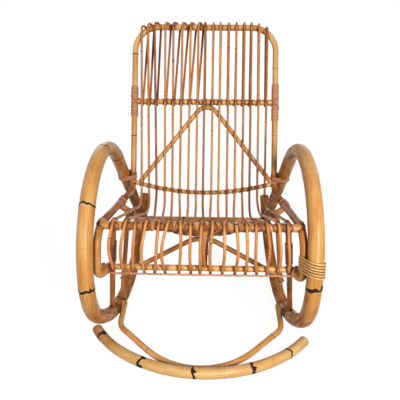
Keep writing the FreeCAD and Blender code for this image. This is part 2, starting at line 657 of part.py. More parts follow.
def build():
    arm_rocker = make_arm_rocker()
    add_pair("arm_rocker", arm_rocker)
    arms = [PARTS["arm_rocker_right"], PARTS["arm_rocker_left"]]
    stretcher_end = Vector(POLE_HALF_SPACING, STRETCHER_Y, STRETCHER_HEIGHT)
    add("rear_stretcher", coped(bar(flipped(stretcher_end), stretcher_end, STRETCHER_DIAMETER), *arms))

    add_pair("side_frame", make_side_frame())
    sides = [PARTS["side_frame_right"], PARTS["side_frame_left"]]
    hoop = make_back_hoop()
    add("back_hoop", hoop)
    mid_end = back_point(UPRIGHT_X, MID_RAIL_ALONG)
    add("mid_back_rail", coped(bar(flipped(mid_end), mid_end, MID_RAIL_DIAMETER), hoop, *sides))
    add("low_back_rail", coped(make_low_rail(), *sides))
    brace = make_back_brace(MID_RAIL_ALONG - corner_reach(MID_RAIL_DIAMETER))
    add("back_brace", coped(brace, PARTS["low_back_rail"], *sides))

    front_end = Vector(SEAT_CORNER.x, FRONT_RAIL_Y, FRONT_RAIL_HEIGHT)
    add("seat_front_rail", coped(bar(flipped(front_end), front_end, FRONT_RAIL_DIAMETER), *sides))
    add("seat_rear_rail", make_rear_rail())
    apron_end = Vector(SEAT_CORNER.x, APRON_RAIL_Y, APRON_RAIL_HEIGHT)
    add("apron_rail", coped(bar(flipped(apron_end), apron_end, APRON_RAIL_DIAMETER), *sides))
    add("apron_trim", make_trim())
    for number in range(ROD_COUNT):
        add("rod_%02d" % (number + 1), make_rod(number))

    post_line = (Vector(CENTRE_POST_X, FRONT_RAIL_Y, FRONT_RAIL_HEIGHT),
                 Vector(CENTRE_POST_X, APRON_RAIL_Y, APRON_RAIL_HEIGHT))
    post = coped(bar(*post_line, CENTRE_POST_DIAMETER), PARTS["seat_front_rail"], PARTS["apron_rail"])
    add("centre_post", post)
    strut = coped(bar(*strut_line(), STRUT_DIAMETER), PARTS["seat_front_rail"], arms[0])
    add_pair("front_strut", strut)
    add_pair("rear_leg", coped(bar(*leg_line(), LEG_DIAMETER), PARTS["seat_rear_rail"], arms[0]))
    legs = [PARTS["rear_leg_right"], PARTS["rear_leg_left"]]
    add("seat_arch", coped(make_arch(), *legs))
    add("foot_bow", make_bow())
    add("bow_strut", make_bow_strut())

    wrapped = [hoop, PARTS["mid_back_rail"], *sides]
    for side_name, side, length in (("left", -1, UPRIGHT_WRAP_LEFT), ("right", 1, UPRIGHT_WRAP_RIGHT)):
        add("upright_wrap_" + side_name, make_upright_wrap(length, side, *wrapped))
    add_pair("strut_wrap", part_sleeve(strut_line(), STRUT_WRAP_SHARES, STRUT_DIAMETER, strut))
    add("post_wrap", part_sleeve(post_line, POST_WRAP_SHARES, CENTRE_POST_DIAMETER, post))
    add("arm_tie_right", make_arm_tie(arms[0], sides[0], PARTS["back_brace"]))
    add("arm_tie_left", mirrored(make_arm_tie(arms[0], sides[0])))
    add("hoop_wrap_right", make_hoop_wrap())


build()
os.makedirs("parts", exist_ok=True)
for name, shape in PARTS.items():
    shape.exportStep(os.path.join("parts", name + ".step"))
    print(name, shape.isValid(), len(shape.Solids), round(shape.Volume / 1000.0, 1), "cm3")
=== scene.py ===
import random
from math import acos, asin, atan2, cos, hypot, pi, radians, sin, sqrt, tan, tau

import bpy
import numpy as np
from mathutils import Matrix, Vector
from numpy.linalg import norm


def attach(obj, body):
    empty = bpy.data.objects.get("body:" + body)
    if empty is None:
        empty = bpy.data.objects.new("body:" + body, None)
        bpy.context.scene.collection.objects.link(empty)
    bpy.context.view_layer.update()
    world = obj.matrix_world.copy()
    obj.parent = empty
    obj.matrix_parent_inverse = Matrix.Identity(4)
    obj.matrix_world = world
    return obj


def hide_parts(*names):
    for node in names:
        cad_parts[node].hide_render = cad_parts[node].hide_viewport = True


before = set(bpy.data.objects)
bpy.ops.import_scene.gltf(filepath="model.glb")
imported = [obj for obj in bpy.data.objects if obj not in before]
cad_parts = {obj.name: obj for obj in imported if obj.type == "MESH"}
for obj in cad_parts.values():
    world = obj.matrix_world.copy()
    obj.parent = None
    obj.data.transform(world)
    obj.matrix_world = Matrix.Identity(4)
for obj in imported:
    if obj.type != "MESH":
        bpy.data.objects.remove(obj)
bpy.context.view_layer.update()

# Lengths are in millimetres, as in the part's source. Left and right are as seen by someone
# facing the chair, which faces -Y.
METRE = 1000.0
SIDES = (("left", -1), ("right", 1))
MIRROR = (-1, 1, 1)

# Arm and rocker poles
LENGTH = 1080.0
POLE_RADIUS = 22.0
POLE_HALF_SPACING = 293.0
ROCKER_RADIUS = 750.0
ROCKER_LOWEST_Y = 20.0
HOOP_CENTRE_HEIGHT = 337.0
HOOP_TOP_RADIUS = 280.0
ARM_SLOPE = radians(41.0)
ARM_END_Y = 420.0
STRETCHER_RADIUS = 13.0
STRETCHER_Y = 385.0
STRETCHER_HEIGHT = 147.0

# Back and seat frame
FRAME_RADIUS = 11.0
UPRIGHT_X = 259.7
BACK_LEAN = radians(20.0)
SEAT_BEND_Y = 30.0
SEAT_BEND_HEIGHT = 410.0
SEAT_BEND_RADIUS = 55.0
BACK_LENGTH = 602.0
BACK_CORNER_RADIUS = 88.0
SEAT_CORNER = np.array((265.0, -478.0, 470.0))
SEAT_CORNER_RADIUS = 60.0
ELBOW_CORNER = np.array((271.0, -494.0, 325.0))
ELBOW_RADIUS = 20.0
ELBOW_END = np.array((250.0, -450.0, 345.0))
SPLICE_ALONG = 325.0
ARM_CROSSING_Y = 50.4
ARM_CROSSING_HEIGHT = 457.0

# Rails and braces of the back, measured up the back from the seat bend
MID_RAIL_RADIUS = 10.5
MID_RAIL_ALONG = 325.0
LOW_RAIL_RADIUS = 8.0
LOW_RAIL_ALONG = 28.0
LOW_RAIL_SAG = 38.0
LOW_RAIL_FORWARD = 3.0
BRACE_RADIUS = 9.0
BRACE_HALF_ANGLE = radians(38.5)
BRACE_BEND_RADIUS = 45.0
BRACE_X = 9.0

# Rails, posts and struts of the seat
FRONT_RAIL_RADIUS = 11.5
FRONT_RAIL_Y = -442.0
FRONT_RAIL_HEIGHT = 463.0
REAR_RAIL_RADIUS = 11.0
REAR_RAIL_Y = -150.0
REAR_RAIL_SAG = 88.0
REAR_RAIL_HALF_LENGTH = 276.0
APRON_RAIL_RADIUS = 8.5
APRON_RAIL_Y = -450.0
APRON_RAIL_HEIGHT = 345.0
CENTRE_POST_RADIUS = 8.0
CENTRE_POST_X = 12.0
STRUT_RADIUS = 8.5
STRUT_TOP_X = 231.0
STRUT_FOOT_Y = -272.0
LEG_RADIUS = 8.0
LEG_TOP_X = 247.0
LEG_FOOT_X = 284.0
LEG_FOOT_Y = -165.0
ARCH_RADIUS = 9.0
ARCH_SLOPE = radians(29.0)
ARCH_BEND_RADIUS = 110.0

# Rods. The wanders move each one sideways at the back's top, the seat's edge and down the apron.
ROD_COUNT = 17
ROD_RADIUS = 4.3
ROD_BACK_PITCH = 28.2
ROD_SEAT_PITCH = 29.6
ROD_BEND_SHARE = 0.85
ROD_END_BELOW_RAIL = 2.0
APRON_LEAN = radians(23.0)
APRON_BULGE_HEIGHT = 408.0
APRON_BULGE_RADIUS = 90.0
REAR_STRAND_SHIFT = 15.0
REAR_STRAND_DROP = 12.0
TOP_WANDER = (-11, -17, -17, -9, -5, 0, 0, 0, 0, 0, 0, 0, 0, 0, 0, 0, 0)
EDGE_WANDER = (11, 15, 6, 9, 11, 7, 7, 5, 4, 2, 2, 3, 0, -1, -7, -6, -11)
BULGE_WANDER = (-6, -3, 2, -9, 2, -15, 12, 4, 1, -5, 4, 15, 5, -3, 5, 7, -4)
APRON_WANDER = (4, 0, -4, -3, -3, -3, 1, 3, 1, -2, 2, 3, 2, 3, 2, 1, 2)

# What hand bending leaves: two waves in each rod, as size and length, and the sideways bow of its rear strand
ROD_WAVES = ((1.4, 52.0), (0.8, 21.0))
REAR_BOW_LEFT = (12.0, 24.0)
REAR_BOW_RIGHT = 2.0

# Foot bow and its strut
BOW_RADIUS = 17.0
BOW_FRONT_Y = -477.0
BOW_BEND_RADIUS = 415.0
BOW_HALF_CHORD = 341.0
BOW_TURN = radians(-3.4)
BOW_X = -5.0
BOW_STRUT_RADIUS = 9.5
BOW_STRUT_SLOPE = radians(41.5)
BOW_STRUT_CROWN_RADIUS = 250.0
BOW_STRUT_CORNER_RADIUS = 45.0
BOW_STRUT_FRONT_HEIGHT = 10.6
BOW_STRUT_END_Y = -215.0
BOW_STRUT_END_RISE = 22.0

# Trim strip over the rods' lower ends
TRIM_RADIUS = 2.8
TRIM_WEAVE = 0.8
TRIM_SAG = 1.2
TRIM_POINTS = 240

# Lashings
UPRIGHT_WRAP_LENGTHS = (113.0, 135.0)
UPRIGHT_WRAP = {"pitch": 7.5, "thickness": 2.4, "tone": 0.34}
STRUT_WRAP_SHARES = (0.15, 0.35)
STRUT_WRAP = {"pitch": 7.0, "thickness": 2.2, "tone": 0.6}
POST_WRAP_SHARES = (0.2, 0.66)
POST_WRAP = {"pitch": 4.4, "thickness": 1.9, "tone": 0.36}
LACE_HEIGHT = 384.0
LACE_TILT = (0.22, 0, 0)
LACE_TO_FRAME = (-25, 10, 0)
LOW_TIE_INSET = 14.0
MID_TIE_INSET = 15.0
REAR_BAND_AHEAD = 22.0
FRONT_BAND_BEHIND = 14.0
ELBOW_TIE_INSET = 12.0
FRONT_TIE_BEHIND = 4.0
REAR_TIE_ABOVE = 15.0

# Nail heads
NAIL_RADIUS = 2.6
NAIL_HEIGHT = 1.3
NAIL_SUNK = 0.8
NAIL_DOME = radians(84)
NAIL_RINGS = 5
NAIL_COLUMNS = 12
NAIL_ABOVE_FOOT = 36.0
BOW_STRUT_NAILS = (16.0, 44.0)

# The photograph's camera, in metres and degrees, and its focal length in pixels of a 400 pixel frame
CAMERA_PLACE = (0.0211, -1.4953, 0.9123)
CAMERA_PITCH = radians(19.567)
CAMERA_YAW = radians(-1.241)
CAMERA_ROLL = radians(-0.434)
CAMERA_FOCAL = 434.2
FRAME_PIXELS = 400.0

# Lamps: name, place, the point they face, width and height, in metres, and power in watts
LAMPS = (
    ("key", (1.0, -2.9, 1.4), (0, -0.2, 0.45), (0.3, 1.5), 76),
    ("fill", (-1.6, -2.4, 1.6), (0, -0.2, 0.45), (0.5, 1.2), 16),
    ("rear", (-1.2, 2.8, 1.8), (0, 0.1, 0.5), (1.6, 1.6), 12),
)
# How bright the floor near the chair, the far floor and the room look; the lamps add to the near floor
NEAR_GLOW = 0.91
FAR_GLOW = 0.99
ROOM_GLOW = 0.96
NEAR_AND_FAR = (0.8, 3.5)
FLOOR_GREYS = (0.2, 0.24)
FLOOR_HALF = 30.0
# How strongly the room lights the chair from the sides and from above
SIDE_LIGHT = 0.05
TOP_LIGHT = 0.22

# The gap between poles that touch, how finely things are drawn, and the seed of all random draws
TOUCH_GAP = 0.3
ARC_STEP = 2.0
SAME_PLACE = 1e-3
POLE_STEP = 6.0
rng = random.Random(17)


# Paths

def unit(vector):
    return vector / norm(vector)


def vec(x, y, z):
    return np.array((x, y, z), float)


def distances(places):
    """How far along a line each of its points is."""
    steps = norm(np.diff(places, axis=0), axis=1)
    return np.concatenate(([0.0], np.cumsum(steps)))


def arc(start, middle, end):
    """Points on the circle through three points, from start to end."""
    a = start - middle
    b = end - middle
    square = np.cross(a, b)
    centre = middle + np.cross(a.dot(a) * b - b.dot(b) * a, square) / (2 * square.dot(square))
    radius = norm(start - centre)
    across = (start - centre) / radius
    onward = np.cross(unit(-square), across)
    sweep = atan2((end - centre).dot(onward), (end - centre).dot(across)) % tau
    turns = np.linspace(0, sweep, max(3, int(radius * sweep / ARC_STEP)))
    return [centre + radius * (across * cos(t) + onward * sin(t)) for t in turns]


class Path:
    """A pole's centre line, which can be read at any distance along it, and the pole's radius."""

    def __init__(self, places, radius):
        places = np.array(places, float)
        steps = norm(np.diff(places, axis=0), axis=1)
        self.places = places[np.concatenate(([True], steps > SAME_PLACE))]
        self.along = distances(self.places)
        self.length = self.along[-1]
        self.radius = radius

    def at(self, along):
        """The point at one distance along the path, or the points at many."""
        return np.stack([np.interp(along, self.along, self.places[:, k]) for k in range(3)], axis=-1)

    def heading(self, along):
        step = 1.0
        gap = self.at(np.minimum(along + step, self.length)) - self.at(np.maximum(along - step, 0.0))
        return gap / norm(gap, axis=-1, keepdims=True)

    def end(self, sign):
        """The left end of a path that runs from left to right for -1, and its right end for 1."""
        return self.at(0.0 if sign < 0 else self.length)

    def nearest(self, place):
        """The distance along the path where it comes nearest to a place."""
        stations = np.arange(0.0, self.length, 1.0)
        return stations[np.argmin(norm(self.at(stations) - place, axis=1))]

    def near(self, place):
        """The point and heading where the path comes nearest to a place, and the pole's radius."""
        station = self.nearest(place)
        return self.at(station), self.heading(station), self.radius

    def sided(self, sign):
        """The path of the right side as it is, or mirrored for the left."""
        return self if sign > 0 else Path(self.places * MIRROR, self.radius)


def bent(points, bends, radius):
    """Straight runs, with a tangent arc of the given bend radius at each inner point."""
    places = [points[0]]
    for before, corner, after, bend in zip(points, points[1:], points[2:], bends):
        inward = unit(before - corner)
        onward = unit(after - corner)
        half = acos(inward.dot(onward)) / 2
        reach = bend / tan(half)
        middle = unit(inward + onward) * (bend / sin(half) - bend)
        places.extend(arc(corner + inward * reach, corner + middle, corner + onward * reach))
    places.append(points[-1])
    return Path(places, radius)


def level_path(half_length, y, z, radius):
    return Path([vec(-half_length, y, z), vec(half_length, y, z)], radius)


def back_point(x, along, forward=0.0):
    """A point on the leaning back: along runs up it from the seat bend, forward towards the sitter."""
    y = SEAT_BEND_Y + along * sin(BACK_LEAN) - forward * cos(BACK_LEAN)
    z = SEAT_BEND_HEIGHT + along * cos(BACK_LEAN) + forward * sin(BACK_LEAN)
    return vec(x, y, z)


def sag_below_ends(x, half_span, sag):
    radius = (half_span ** 2 + sag ** 2) / (2 * sag)
    return sqrt(radius ** 2 - x ** 2) - (radius - sag)


def rocker_height(y):
    return ROCKER_RADIUS + POLE_RADIUS - sqrt(ROCKER_RADIUS ** 2 - (y - ROCKER_LOWEST_Y) ** 2)


def side_rail_point(y):
    bend = vec(UPRIGHT_X, SEAT_BEND_Y, SEAT_BEND_HEIGHT)
    return bend + (SEAT_CORNER - bend) * (y - bend[1]) / (SEAT_CORNER[1] - bend[1])


def arm_rocker_path():
    """The right pole from the runner's tail forward, round the front hoop and down the arm."""
    def on_circle(centre_y, centre_z, radius, angle):
        y = centre_y + radius * sin(angle)
        return vec(POLE_HALF_SPACING, y, centre_z - radius * cos(angle))

    def arc_on(circle, start, end):
        return arc(*[on_circle(*circle, angle) for angle in (start, (start + end) / 2, end)])

    rocker_centre = ROCKER_RADIUS + POLE_RADIUS
    hoop_front = POLE_RADIUS - LENGTH / 2
    fall = rocker_centre - HOOP_CENTRE_HEIGHT
    front_reach = ROCKER_LOWEST_Y - hoop_front
    low_radius = (ROCKER_RADIUS ** 2 - fall ** 2 - front_reach ** 2) / (2 * (ROCKER_RADIUS - front_reach))
    low_y = hoop_front + low_radius
    low_angle = atan2(low_y - ROCKER_LOWEST_Y, fall)
    tail_angle = asin((LENGTH / 2 - ROCKER_LOWEST_Y) / (ROCKER_RADIUS + POLE_RADIUS))
    top_hoop = (hoop_front + HOOP_TOP_RADIUS, HOOP_CENTRE_HEIGHT, HOOP_TOP_RADIUS)
    arm_angle = -pi - ARM_SLOPE
    places = arc_on((ROCKER_LOWEST_Y, rocker_centre, ROCKER_RADIUS), tail_angle, low_angle)
    places += arc_on((low_y, HOOP_CENTRE_HEIGHT, low_radius), low_angle, -pi / 2)
    places += arc_on(top_hoop, -pi / 2, arm_angle)
    arm_start = on_circle(*top_hoop, arm_angle)
    arm_drop = (ARM_END_Y - arm_start[1]) * tan(ARM_SLOPE)
    places.append(vec(POLE_HALF_SPACING, ARM_END_Y, arm_start[2] - arm_drop))
    return Path(places, POLE_RADIUS)


def back_brace_path():
    top = MID_RAIL_ALONG - MID_RAIL_RADIUS - TOUCH_GAP - BRACE_RADIUS
    corner = top - BRACE_BEND_RADIUS + BRACE_BEND_RADIUS / sin(BRACE_HALF_ANGLE)
    half_width = (corner - LOW_RAIL_ALONG) * tan(BRACE_HALF_ANGLE)
    points = [back_point(BRACE_X - half_width, LOW_RAIL_ALONG), back_point(BRACE_X, corner),
              back_point(BRACE_X + half_width, LOW_RAIL_ALONG)]
    return bent(points, [BRACE_BEND_RADIUS], BRACE_RADIUS)


def low_rail_along(x):
    return LOW_RAIL_ALONG - sag_below_ends(x, UPRIGHT_X, LOW_RAIL_SAG)


def rear_rail_slope(x):
    half_span = side_rail_point(REAR_RAIL_Y)[0]
    radius = (half_span ** 2 + REAR_RAIL_SAG ** 2) / (2 * REAR_RAIL_SAG)
    return asin(abs(x) / radius)


def rear_rail_height(x):
    side = side_rail_point(REAR_RAIL_Y)
    apart = (FRAME_RADIUS + REAR_RAIL_RADIUS + TOUCH_GAP) / cos(rear_rail_slope(side[0]))
    return side[2] - apart - sag_below_ends(x, side[0], REAR_RAIL_SAG)


def clear_of_top_rail(x, standoff):
    """How far up the back a rod has to go to pass over the back hoop, whose corners are round."""
    past_corner = abs(x) - (UPRIGHT_X - BACK_CORNER_RADIUS)
    if past_corner <= 0:
        return BACK_LENGTH + standoff
    rise = sqrt((BACK_CORNER_RADIUS + standoff) ** 2 - past_corner ** 2)
    return BACK_LENGTH - BACK_CORNER_RADIUS + rise


def crossing(point_a, heading_a, point_b, heading_b):
    """Where two lines in the YZ plane cross; each is a point and a heading, as (y, z)."""
    cross = heading_a[0] * heading_b[1] - heading_a[1] * heading_b[0]
    gap = (point_b[0] - point_a[0], point_b[1] - point_a[1])
    run = (gap[0] * heading_b[1] - gap[1] * heading_b[0]) / cross
    return point_a[0] + heading_a[0] * run, point_a[1] + heading_a[1] * run


def rod_path(number):
    """One rod: up behind the back, over its top, down the back, over the seat and down the apron."""
    place = number - (ROD_COUNT - 1) / 2
    x_back = place * ROD_BACK_PITCH
    x_top = x_back + TOP_WANDER[number]
    x_edge = place * ROD_SEAT_PITCH + EDGE_WANDER[number]
    x_bulge = place * ROD_SEAT_PITCH + BULGE_WANDER[number]
    x_apron = place * ROD_SEAT_PITCH + APRON_WANDER[number]
    standoff = FRAME_RADIUS + ROD_RADIUS + TOUCH_GAP
    x_rear = x_top + (REAR_STRAND_SHIFT if place < 0 else 0.0)
    over = max(clear_of_top_rail(x, standoff) for x in (x_rear, x_top))

    # the rear rail is a third of the way from the back to the edge
    x_on_rail = (2 * x_back + x_edge) / 3
    rear_clear = REAR_RAIL_RADIUS + ROD_RADIUS + TOUCH_GAP
    rear_top = rear_rail_height(x_on_rail) + rear_clear / cos(rear_rail_slope(x_on_rail))
    front_clear = FRONT_RAIL_RADIUS + ROD_RADIUS + TOUCH_GAP
    seat_slope = atan2(FRONT_RAIL_HEIGHT + front_clear - rear_top, REAR_RAIL_Y - FRONT_RAIL_Y)
    front_top = FRONT_RAIL_HEIGHT + front_clear / cos(seat_slope)
    seat_heading = (-1.0, tan(seat_slope))
    back_low = back_point(0, 0, standoff)
    back_heading = (sin(BACK_LEAN), cos(BACK_LEAN))
    bend_y, bend_z = crossing(back_low[1:], back_heading, (FRONT_RAIL_Y, front_top), seat_heading)
    bend_along = (bend_z - back_low[2]) / cos(BACK_LEAN)
    bend_turn = pi / 2 + seat_slope - BACK_LEAN
    bend_radius = ROD_BEND_SHARE * (low_rail_along(x_back) - bend_along) / tan(bend_turn / 2)

    apron_heading = (-sin(APRON_LEAN), -cos(APRON_LEAN))
    edge_start = (FRONT_RAIL_Y - front_clear * cos(APRON_LEAN),
                  FRONT_RAIL_HEIGHT + front_clear * sin(APRON_LEAN))
    edge_y, edge_z = crossing((FRONT_RAIL_Y, front_top), seat_heading, edge_start, apron_heading)
    bulge_y = edge_start[0] - (edge_start[1] - APRON_BULGE_HEIGHT) * tan(APRON_LEAN)
    apron_clear = APRON_RAIL_RADIUS + ROD_RADIUS + TOUCH_GAP
    to_rail = (APRON_RAIL_Y - bulge_y, APRON_BULGE_HEIGHT - APRON_RAIL_HEIGHT)
    inward = atan2(*to_rail) - asin(apron_clear / hypot(*to_rail))
    end_height = APRON_RAIL_HEIGHT - APRON_RAIL_RADIUS - ROD_END_BELOW_RAIL
    apron_y = bulge_y + (APRON_BULGE_HEIGHT - end_height) * tan(inward)
    points = [
        back_point((x_back + x_top) / 2, MID_RAIL_ALONG - REAR_STRAND_DROP, -standoff),
        back_point(x_rear, over, -standoff),
        back_point(x_top, over, standoff),
        vec(x_back, bend_y, bend_z),
        vec(x_edge, edge_y, edge_z),
        vec(x_bulge, bulge_y, APRON_BULGE_HEIGHT),
        vec(x_apron, apron_y, end_height),
    ]
    return bent(points, [standoff, standoff, bend_radius, front_clear, APRON_BULGE_RADIUS], ROD_RADIUS)


def over_top(rod):
    """How far along a rod it passes over the back's top."""
    return rod.nearest(back_point(rod.places[0][0], BACK_LENGTH + FRAME_RADIUS))


def hand_bent(rod, number):
    """A rod with the slight wander of a cane; left of the middle, its rear strand bows to the right."""
    wander = np.zeros_like(rod.along)
    for size, length in ROD_WAVES:
        wander += size * np.sin(rod.along / length + rng.uniform(0, 6))
    bow = rng.uniform(*REAR_BOW_LEFT) if number < ROD_COUNT // 2 else REAR_BOW_RIGHT
    places = rod.places.copy()
    places[:, 0] += wander + np.sin(pi * np.clip(rod.along / over_top(rod), 0, 1)) * bow
    return Path(places, rod.radius)


def arch_path(leg):
    top, foot = leg.places
    crown = rear_rail_height(0) - REAR_RAIL_RADIUS - ARCH_RADIUS - TOUCH_GAP
    corner = crown + ARCH_BEND_RADIUS / cos(ARCH_SLOPE) - ARCH_BEND_RADIUS
    spread = (foot[0] - top[0]) / (top[2] - foot[2])
    fall = (top[0] + spread * (top[2] - corner)) / (1 / tan(ARCH_SLOPE) - spread)
    end = top + (foot - top) * (top[2] - corner + fall) / (top[2] - foot[2])
    return bent([end * MIRROR, vec(0, REAR_RAIL_Y, corner), end], [ARCH_BEND_RADIUS], ARCH_RADIUS)


def bow_path():
    centre_y = BOW_FRONT_Y + BOW_BEND_RADIUS
    end_y = centre_y - sqrt(BOW_BEND_RADIUS ** 2 - BOW_HALF_CHORD ** 2)
    end = vec(BOW_HALF_CHORD, end_y, BOW_RADIUS)
    turn = np.array(Matrix.Rotation(BOW_TURN, 3, "Z"))
    pivot = vec(0, end_y, 0)
    places = arc(end * MIRROR, vec(0, BOW_FRONT_Y, BOW_RADIUS), end)
    return Path([vec(BOW_X, end_y, 0) + turn @ (place - pivot) for place in places], BOW_RADIUS)


def bow_strut_path():
    lower = BOW_RADIUS - BOW_STRUT_FRONT_HEIGHT
    front_y = BOW_FRONT_Y + sqrt((BOW_RADIUS + BOW_STRUT_RADIUS + TOUCH_GAP) ** 2 - lower ** 2)
    x = POLE_HALF_SPACING - POLE_RADIUS - BOW_STRUT_RADIUS - TOUCH_GAP
    end_height = rocker_height(BOW_STRUT_END_Y) + BOW_STRUT_END_RISE
    tilt = atan2(end_height - BOW_STRUT_FRONT_HEIGHT, BOW_STRUT_END_Y - front_y)

    def tilted(px, along):
        """A point of the U's plane, along running back and up from the crown."""
        return vec(px, front_y + along * cos(tilt), BOW_STRUT_FRONT_HEIGHT + along * sin(tilt))

    meet = -BOW_STRUT_CROWN_RADIUS * (1 / cos(BOW_STRUT_SLOPE) - 1)
    end = tilted(x, (BOW_STRUT_END_Y - front_y) / cos(tilt))
    corner = tilted(x, meet + x * tan(BOW_STRUT_SLOPE))
    points = [end, corner, tilted(0, meet), corner * MIRROR, end * MIRROR]
    bends = [BOW_STRUT_CORNER_RADIUS, BOW_STRUT_CROWN_RADIUS, BOW_STRUT_CORNER_RADIUS]
    return bent(points, bends, BOW_STRUT_RADIUS)


# Materials

def linear(red, green, blue):
    """A colour given by its 0 to 255 screen values, as Blender's linear colour."""
    def channel(value):
        value /= 255.0
        return value / 12.92 if value <= 0.04045 else ((value + 0.055) / 1.055) ** 2.4

    return (channel(red), channel(green), channel(blue), 1.0)


class Shader:
    """The nodes of a material or a world, added with short calls; a socket given as a value is linked."""

    def __init__(self, owner, surface="Principled BSDF"):
        owner.use_nodes = True
        self.owner = owner
        self.tree = owner.node_tree
        self.surface = self.tree.nodes[surface]

    def set(self, socket, value):
        if isinstance(value, bpy.types.NodeSocket):
            self.tree.links.new(value, socket)
        else:
            socket.default_value = value

    def paint(self, name, value):
        """Sets an input of the surface."""
        self.set(self.surface.inputs[name], value)

    def node(self, kind, settings=None, **inputs):
        made = self.tree.nodes.new(kind)
        for key, value in (settings or {}).items():
            setattr(made, key, value)
        for key, value in inputs.items():
            self.set(made.inputs[key], value)
        return made

    def value_of(self, attribute):
        return self.node("ShaderNodeAttribute", {"attribute_name": attribute}).outputs["Fac"]

    def coordinates(self, kind="Object"):
        return self.node("ShaderNodeTexCoord").outputs[kind]

    def noise(self, vector, scale, detail=2.0, roughness=0.5):
        made = self.node("ShaderNodeTexNoise", None, Vector=vector, Scale=scale, Detail=detail,
                         Roughness=roughness)
        return made.outputs["Fac"]

    def cane_noise(self, place, around, along, detail, roughness=0.5):
        """A noise on the cane's coordinates, with one scale round the pole and another along it."""
        scale = (around, around, along)
        made = self.node("ShaderNodeMapping", {"vector_type": "POINT"}, Vector=place, Scale=scale)
        return self.noise(made.outputs["Vector"], 1.0, detail, roughness)

    def math(self, operation, *values):
        made = self.node("ShaderNodeMath", {"operation": operation})
        for socket, value in zip(made.inputs, values):
            self.set(socket, value)
        return made.outputs["Value"]

    def about(self, noise, size, base):
        """The base value, moved up and down by a noise."""
        return self.math("MULTIPLY_ADD", self.math("SUBTRACT", noise, 0.5), size, base)

    def smooth(self, value, low, high, bottom=0.0, top=1.0):
        """The bottom value up to low, the top value from high on, and smooth between."""
        limits = {"From Min": low, "From Max": high, "To Min": bottom, "To Max": top}
        settings = {"interpolation_type": "SMOOTHSTEP"}
        return self.node("ShaderNodeMapRange", settings, Value=value, **limits).outputs["Result"]

    def ramp(self, value, stops):
        made = self.node("ShaderNodeValToRGB", None, Fac=value)
        elements = made.color_ramp.elements
        while len(elements) < len(stops):
            elements.new(1.0)
        for element, (place, colour) in zip(elements, stops):
            element.position = place
            element.color = colour
        return made.outputs["Color"]

    def mix(self, share, first, second):
        made = self.node("ShaderNodeMix", {"data_type": "RGBA"})
        colours = [socket for socket in made.inputs if socket.type == "RGBA"]
        for socket, value in zip([made.inputs["Factor"], *colours], (share, first, second)):
            self.set(socket, value)
        return next(socket for socket in made.outputs if socket.type == "RGBA")

    def bump(self, height, strength, distance):
        made = self.node("ShaderNodeBump", None, Height=height, Strength=strength, Distance=distance)
        self.paint("Normal", made.outputs["Normal"])


# Varnished cane. Each noise has its scale round the pole and along it, its detail and at times its roughness.
# Limits are the values between which a look sets in.
TONE_STOPS = (0.0, 0.35, 0.65, 1.0)
FIBRE = (1.1, 0.012, 3.0)
STREAK = (0.26, 0.012, 3.0)
BLOTCH = (0.055, 0.014, 3.0)
SCAR = (0.26, 0.12, 4.0, 0.65)
SCAR_LIMITS = (0.64, 0.69)
SCAR_DEPTH = 0.8
# Painted shade in the crevices where canes touch, from ambient occlusion: its reach in metres, the limits it
# sets in between, and its depth
CREVICE_SHADE_REACH = 0.014
CREVICE_SHADE_LIMITS = (0.3, 0.85)
CREVICE_SHADE_DEPTH = 0.85
RING_WAVES = (0.045, 0.01, 1.0)
RING_TEETH = (0.3, 0.06, 3.0, 0.7)
RING_BREAKS = (0.11, 0.05, 2.0)
RING_BREAK_LIMITS = (0.6, 1.0)
RING_SOFTNESS = 0.6
FAINT_RING = 0.4
FULL_INK = 0.8
BLOT = (0.06, 0.022, 2.0)
BLOT_PLACE = 5.0
BLOT_FADE = 0.02
BLOT_INK = 0.3
BLOT_LIMITS = (0.8, 0.84)
WORN_LIMITS = (2.0, 10.0)
WORN_DEPTH = 0.25
DULL_LIMITS = (0.45, 0.85)
DULL = 0.8
UNEVEN_GLOSS = 0.2
GLOSS = 0.3
INK = linear(40, 10, 6)
FIBRE_RELIEF = 0.4
RELIEF = (0.35, 0.0006)


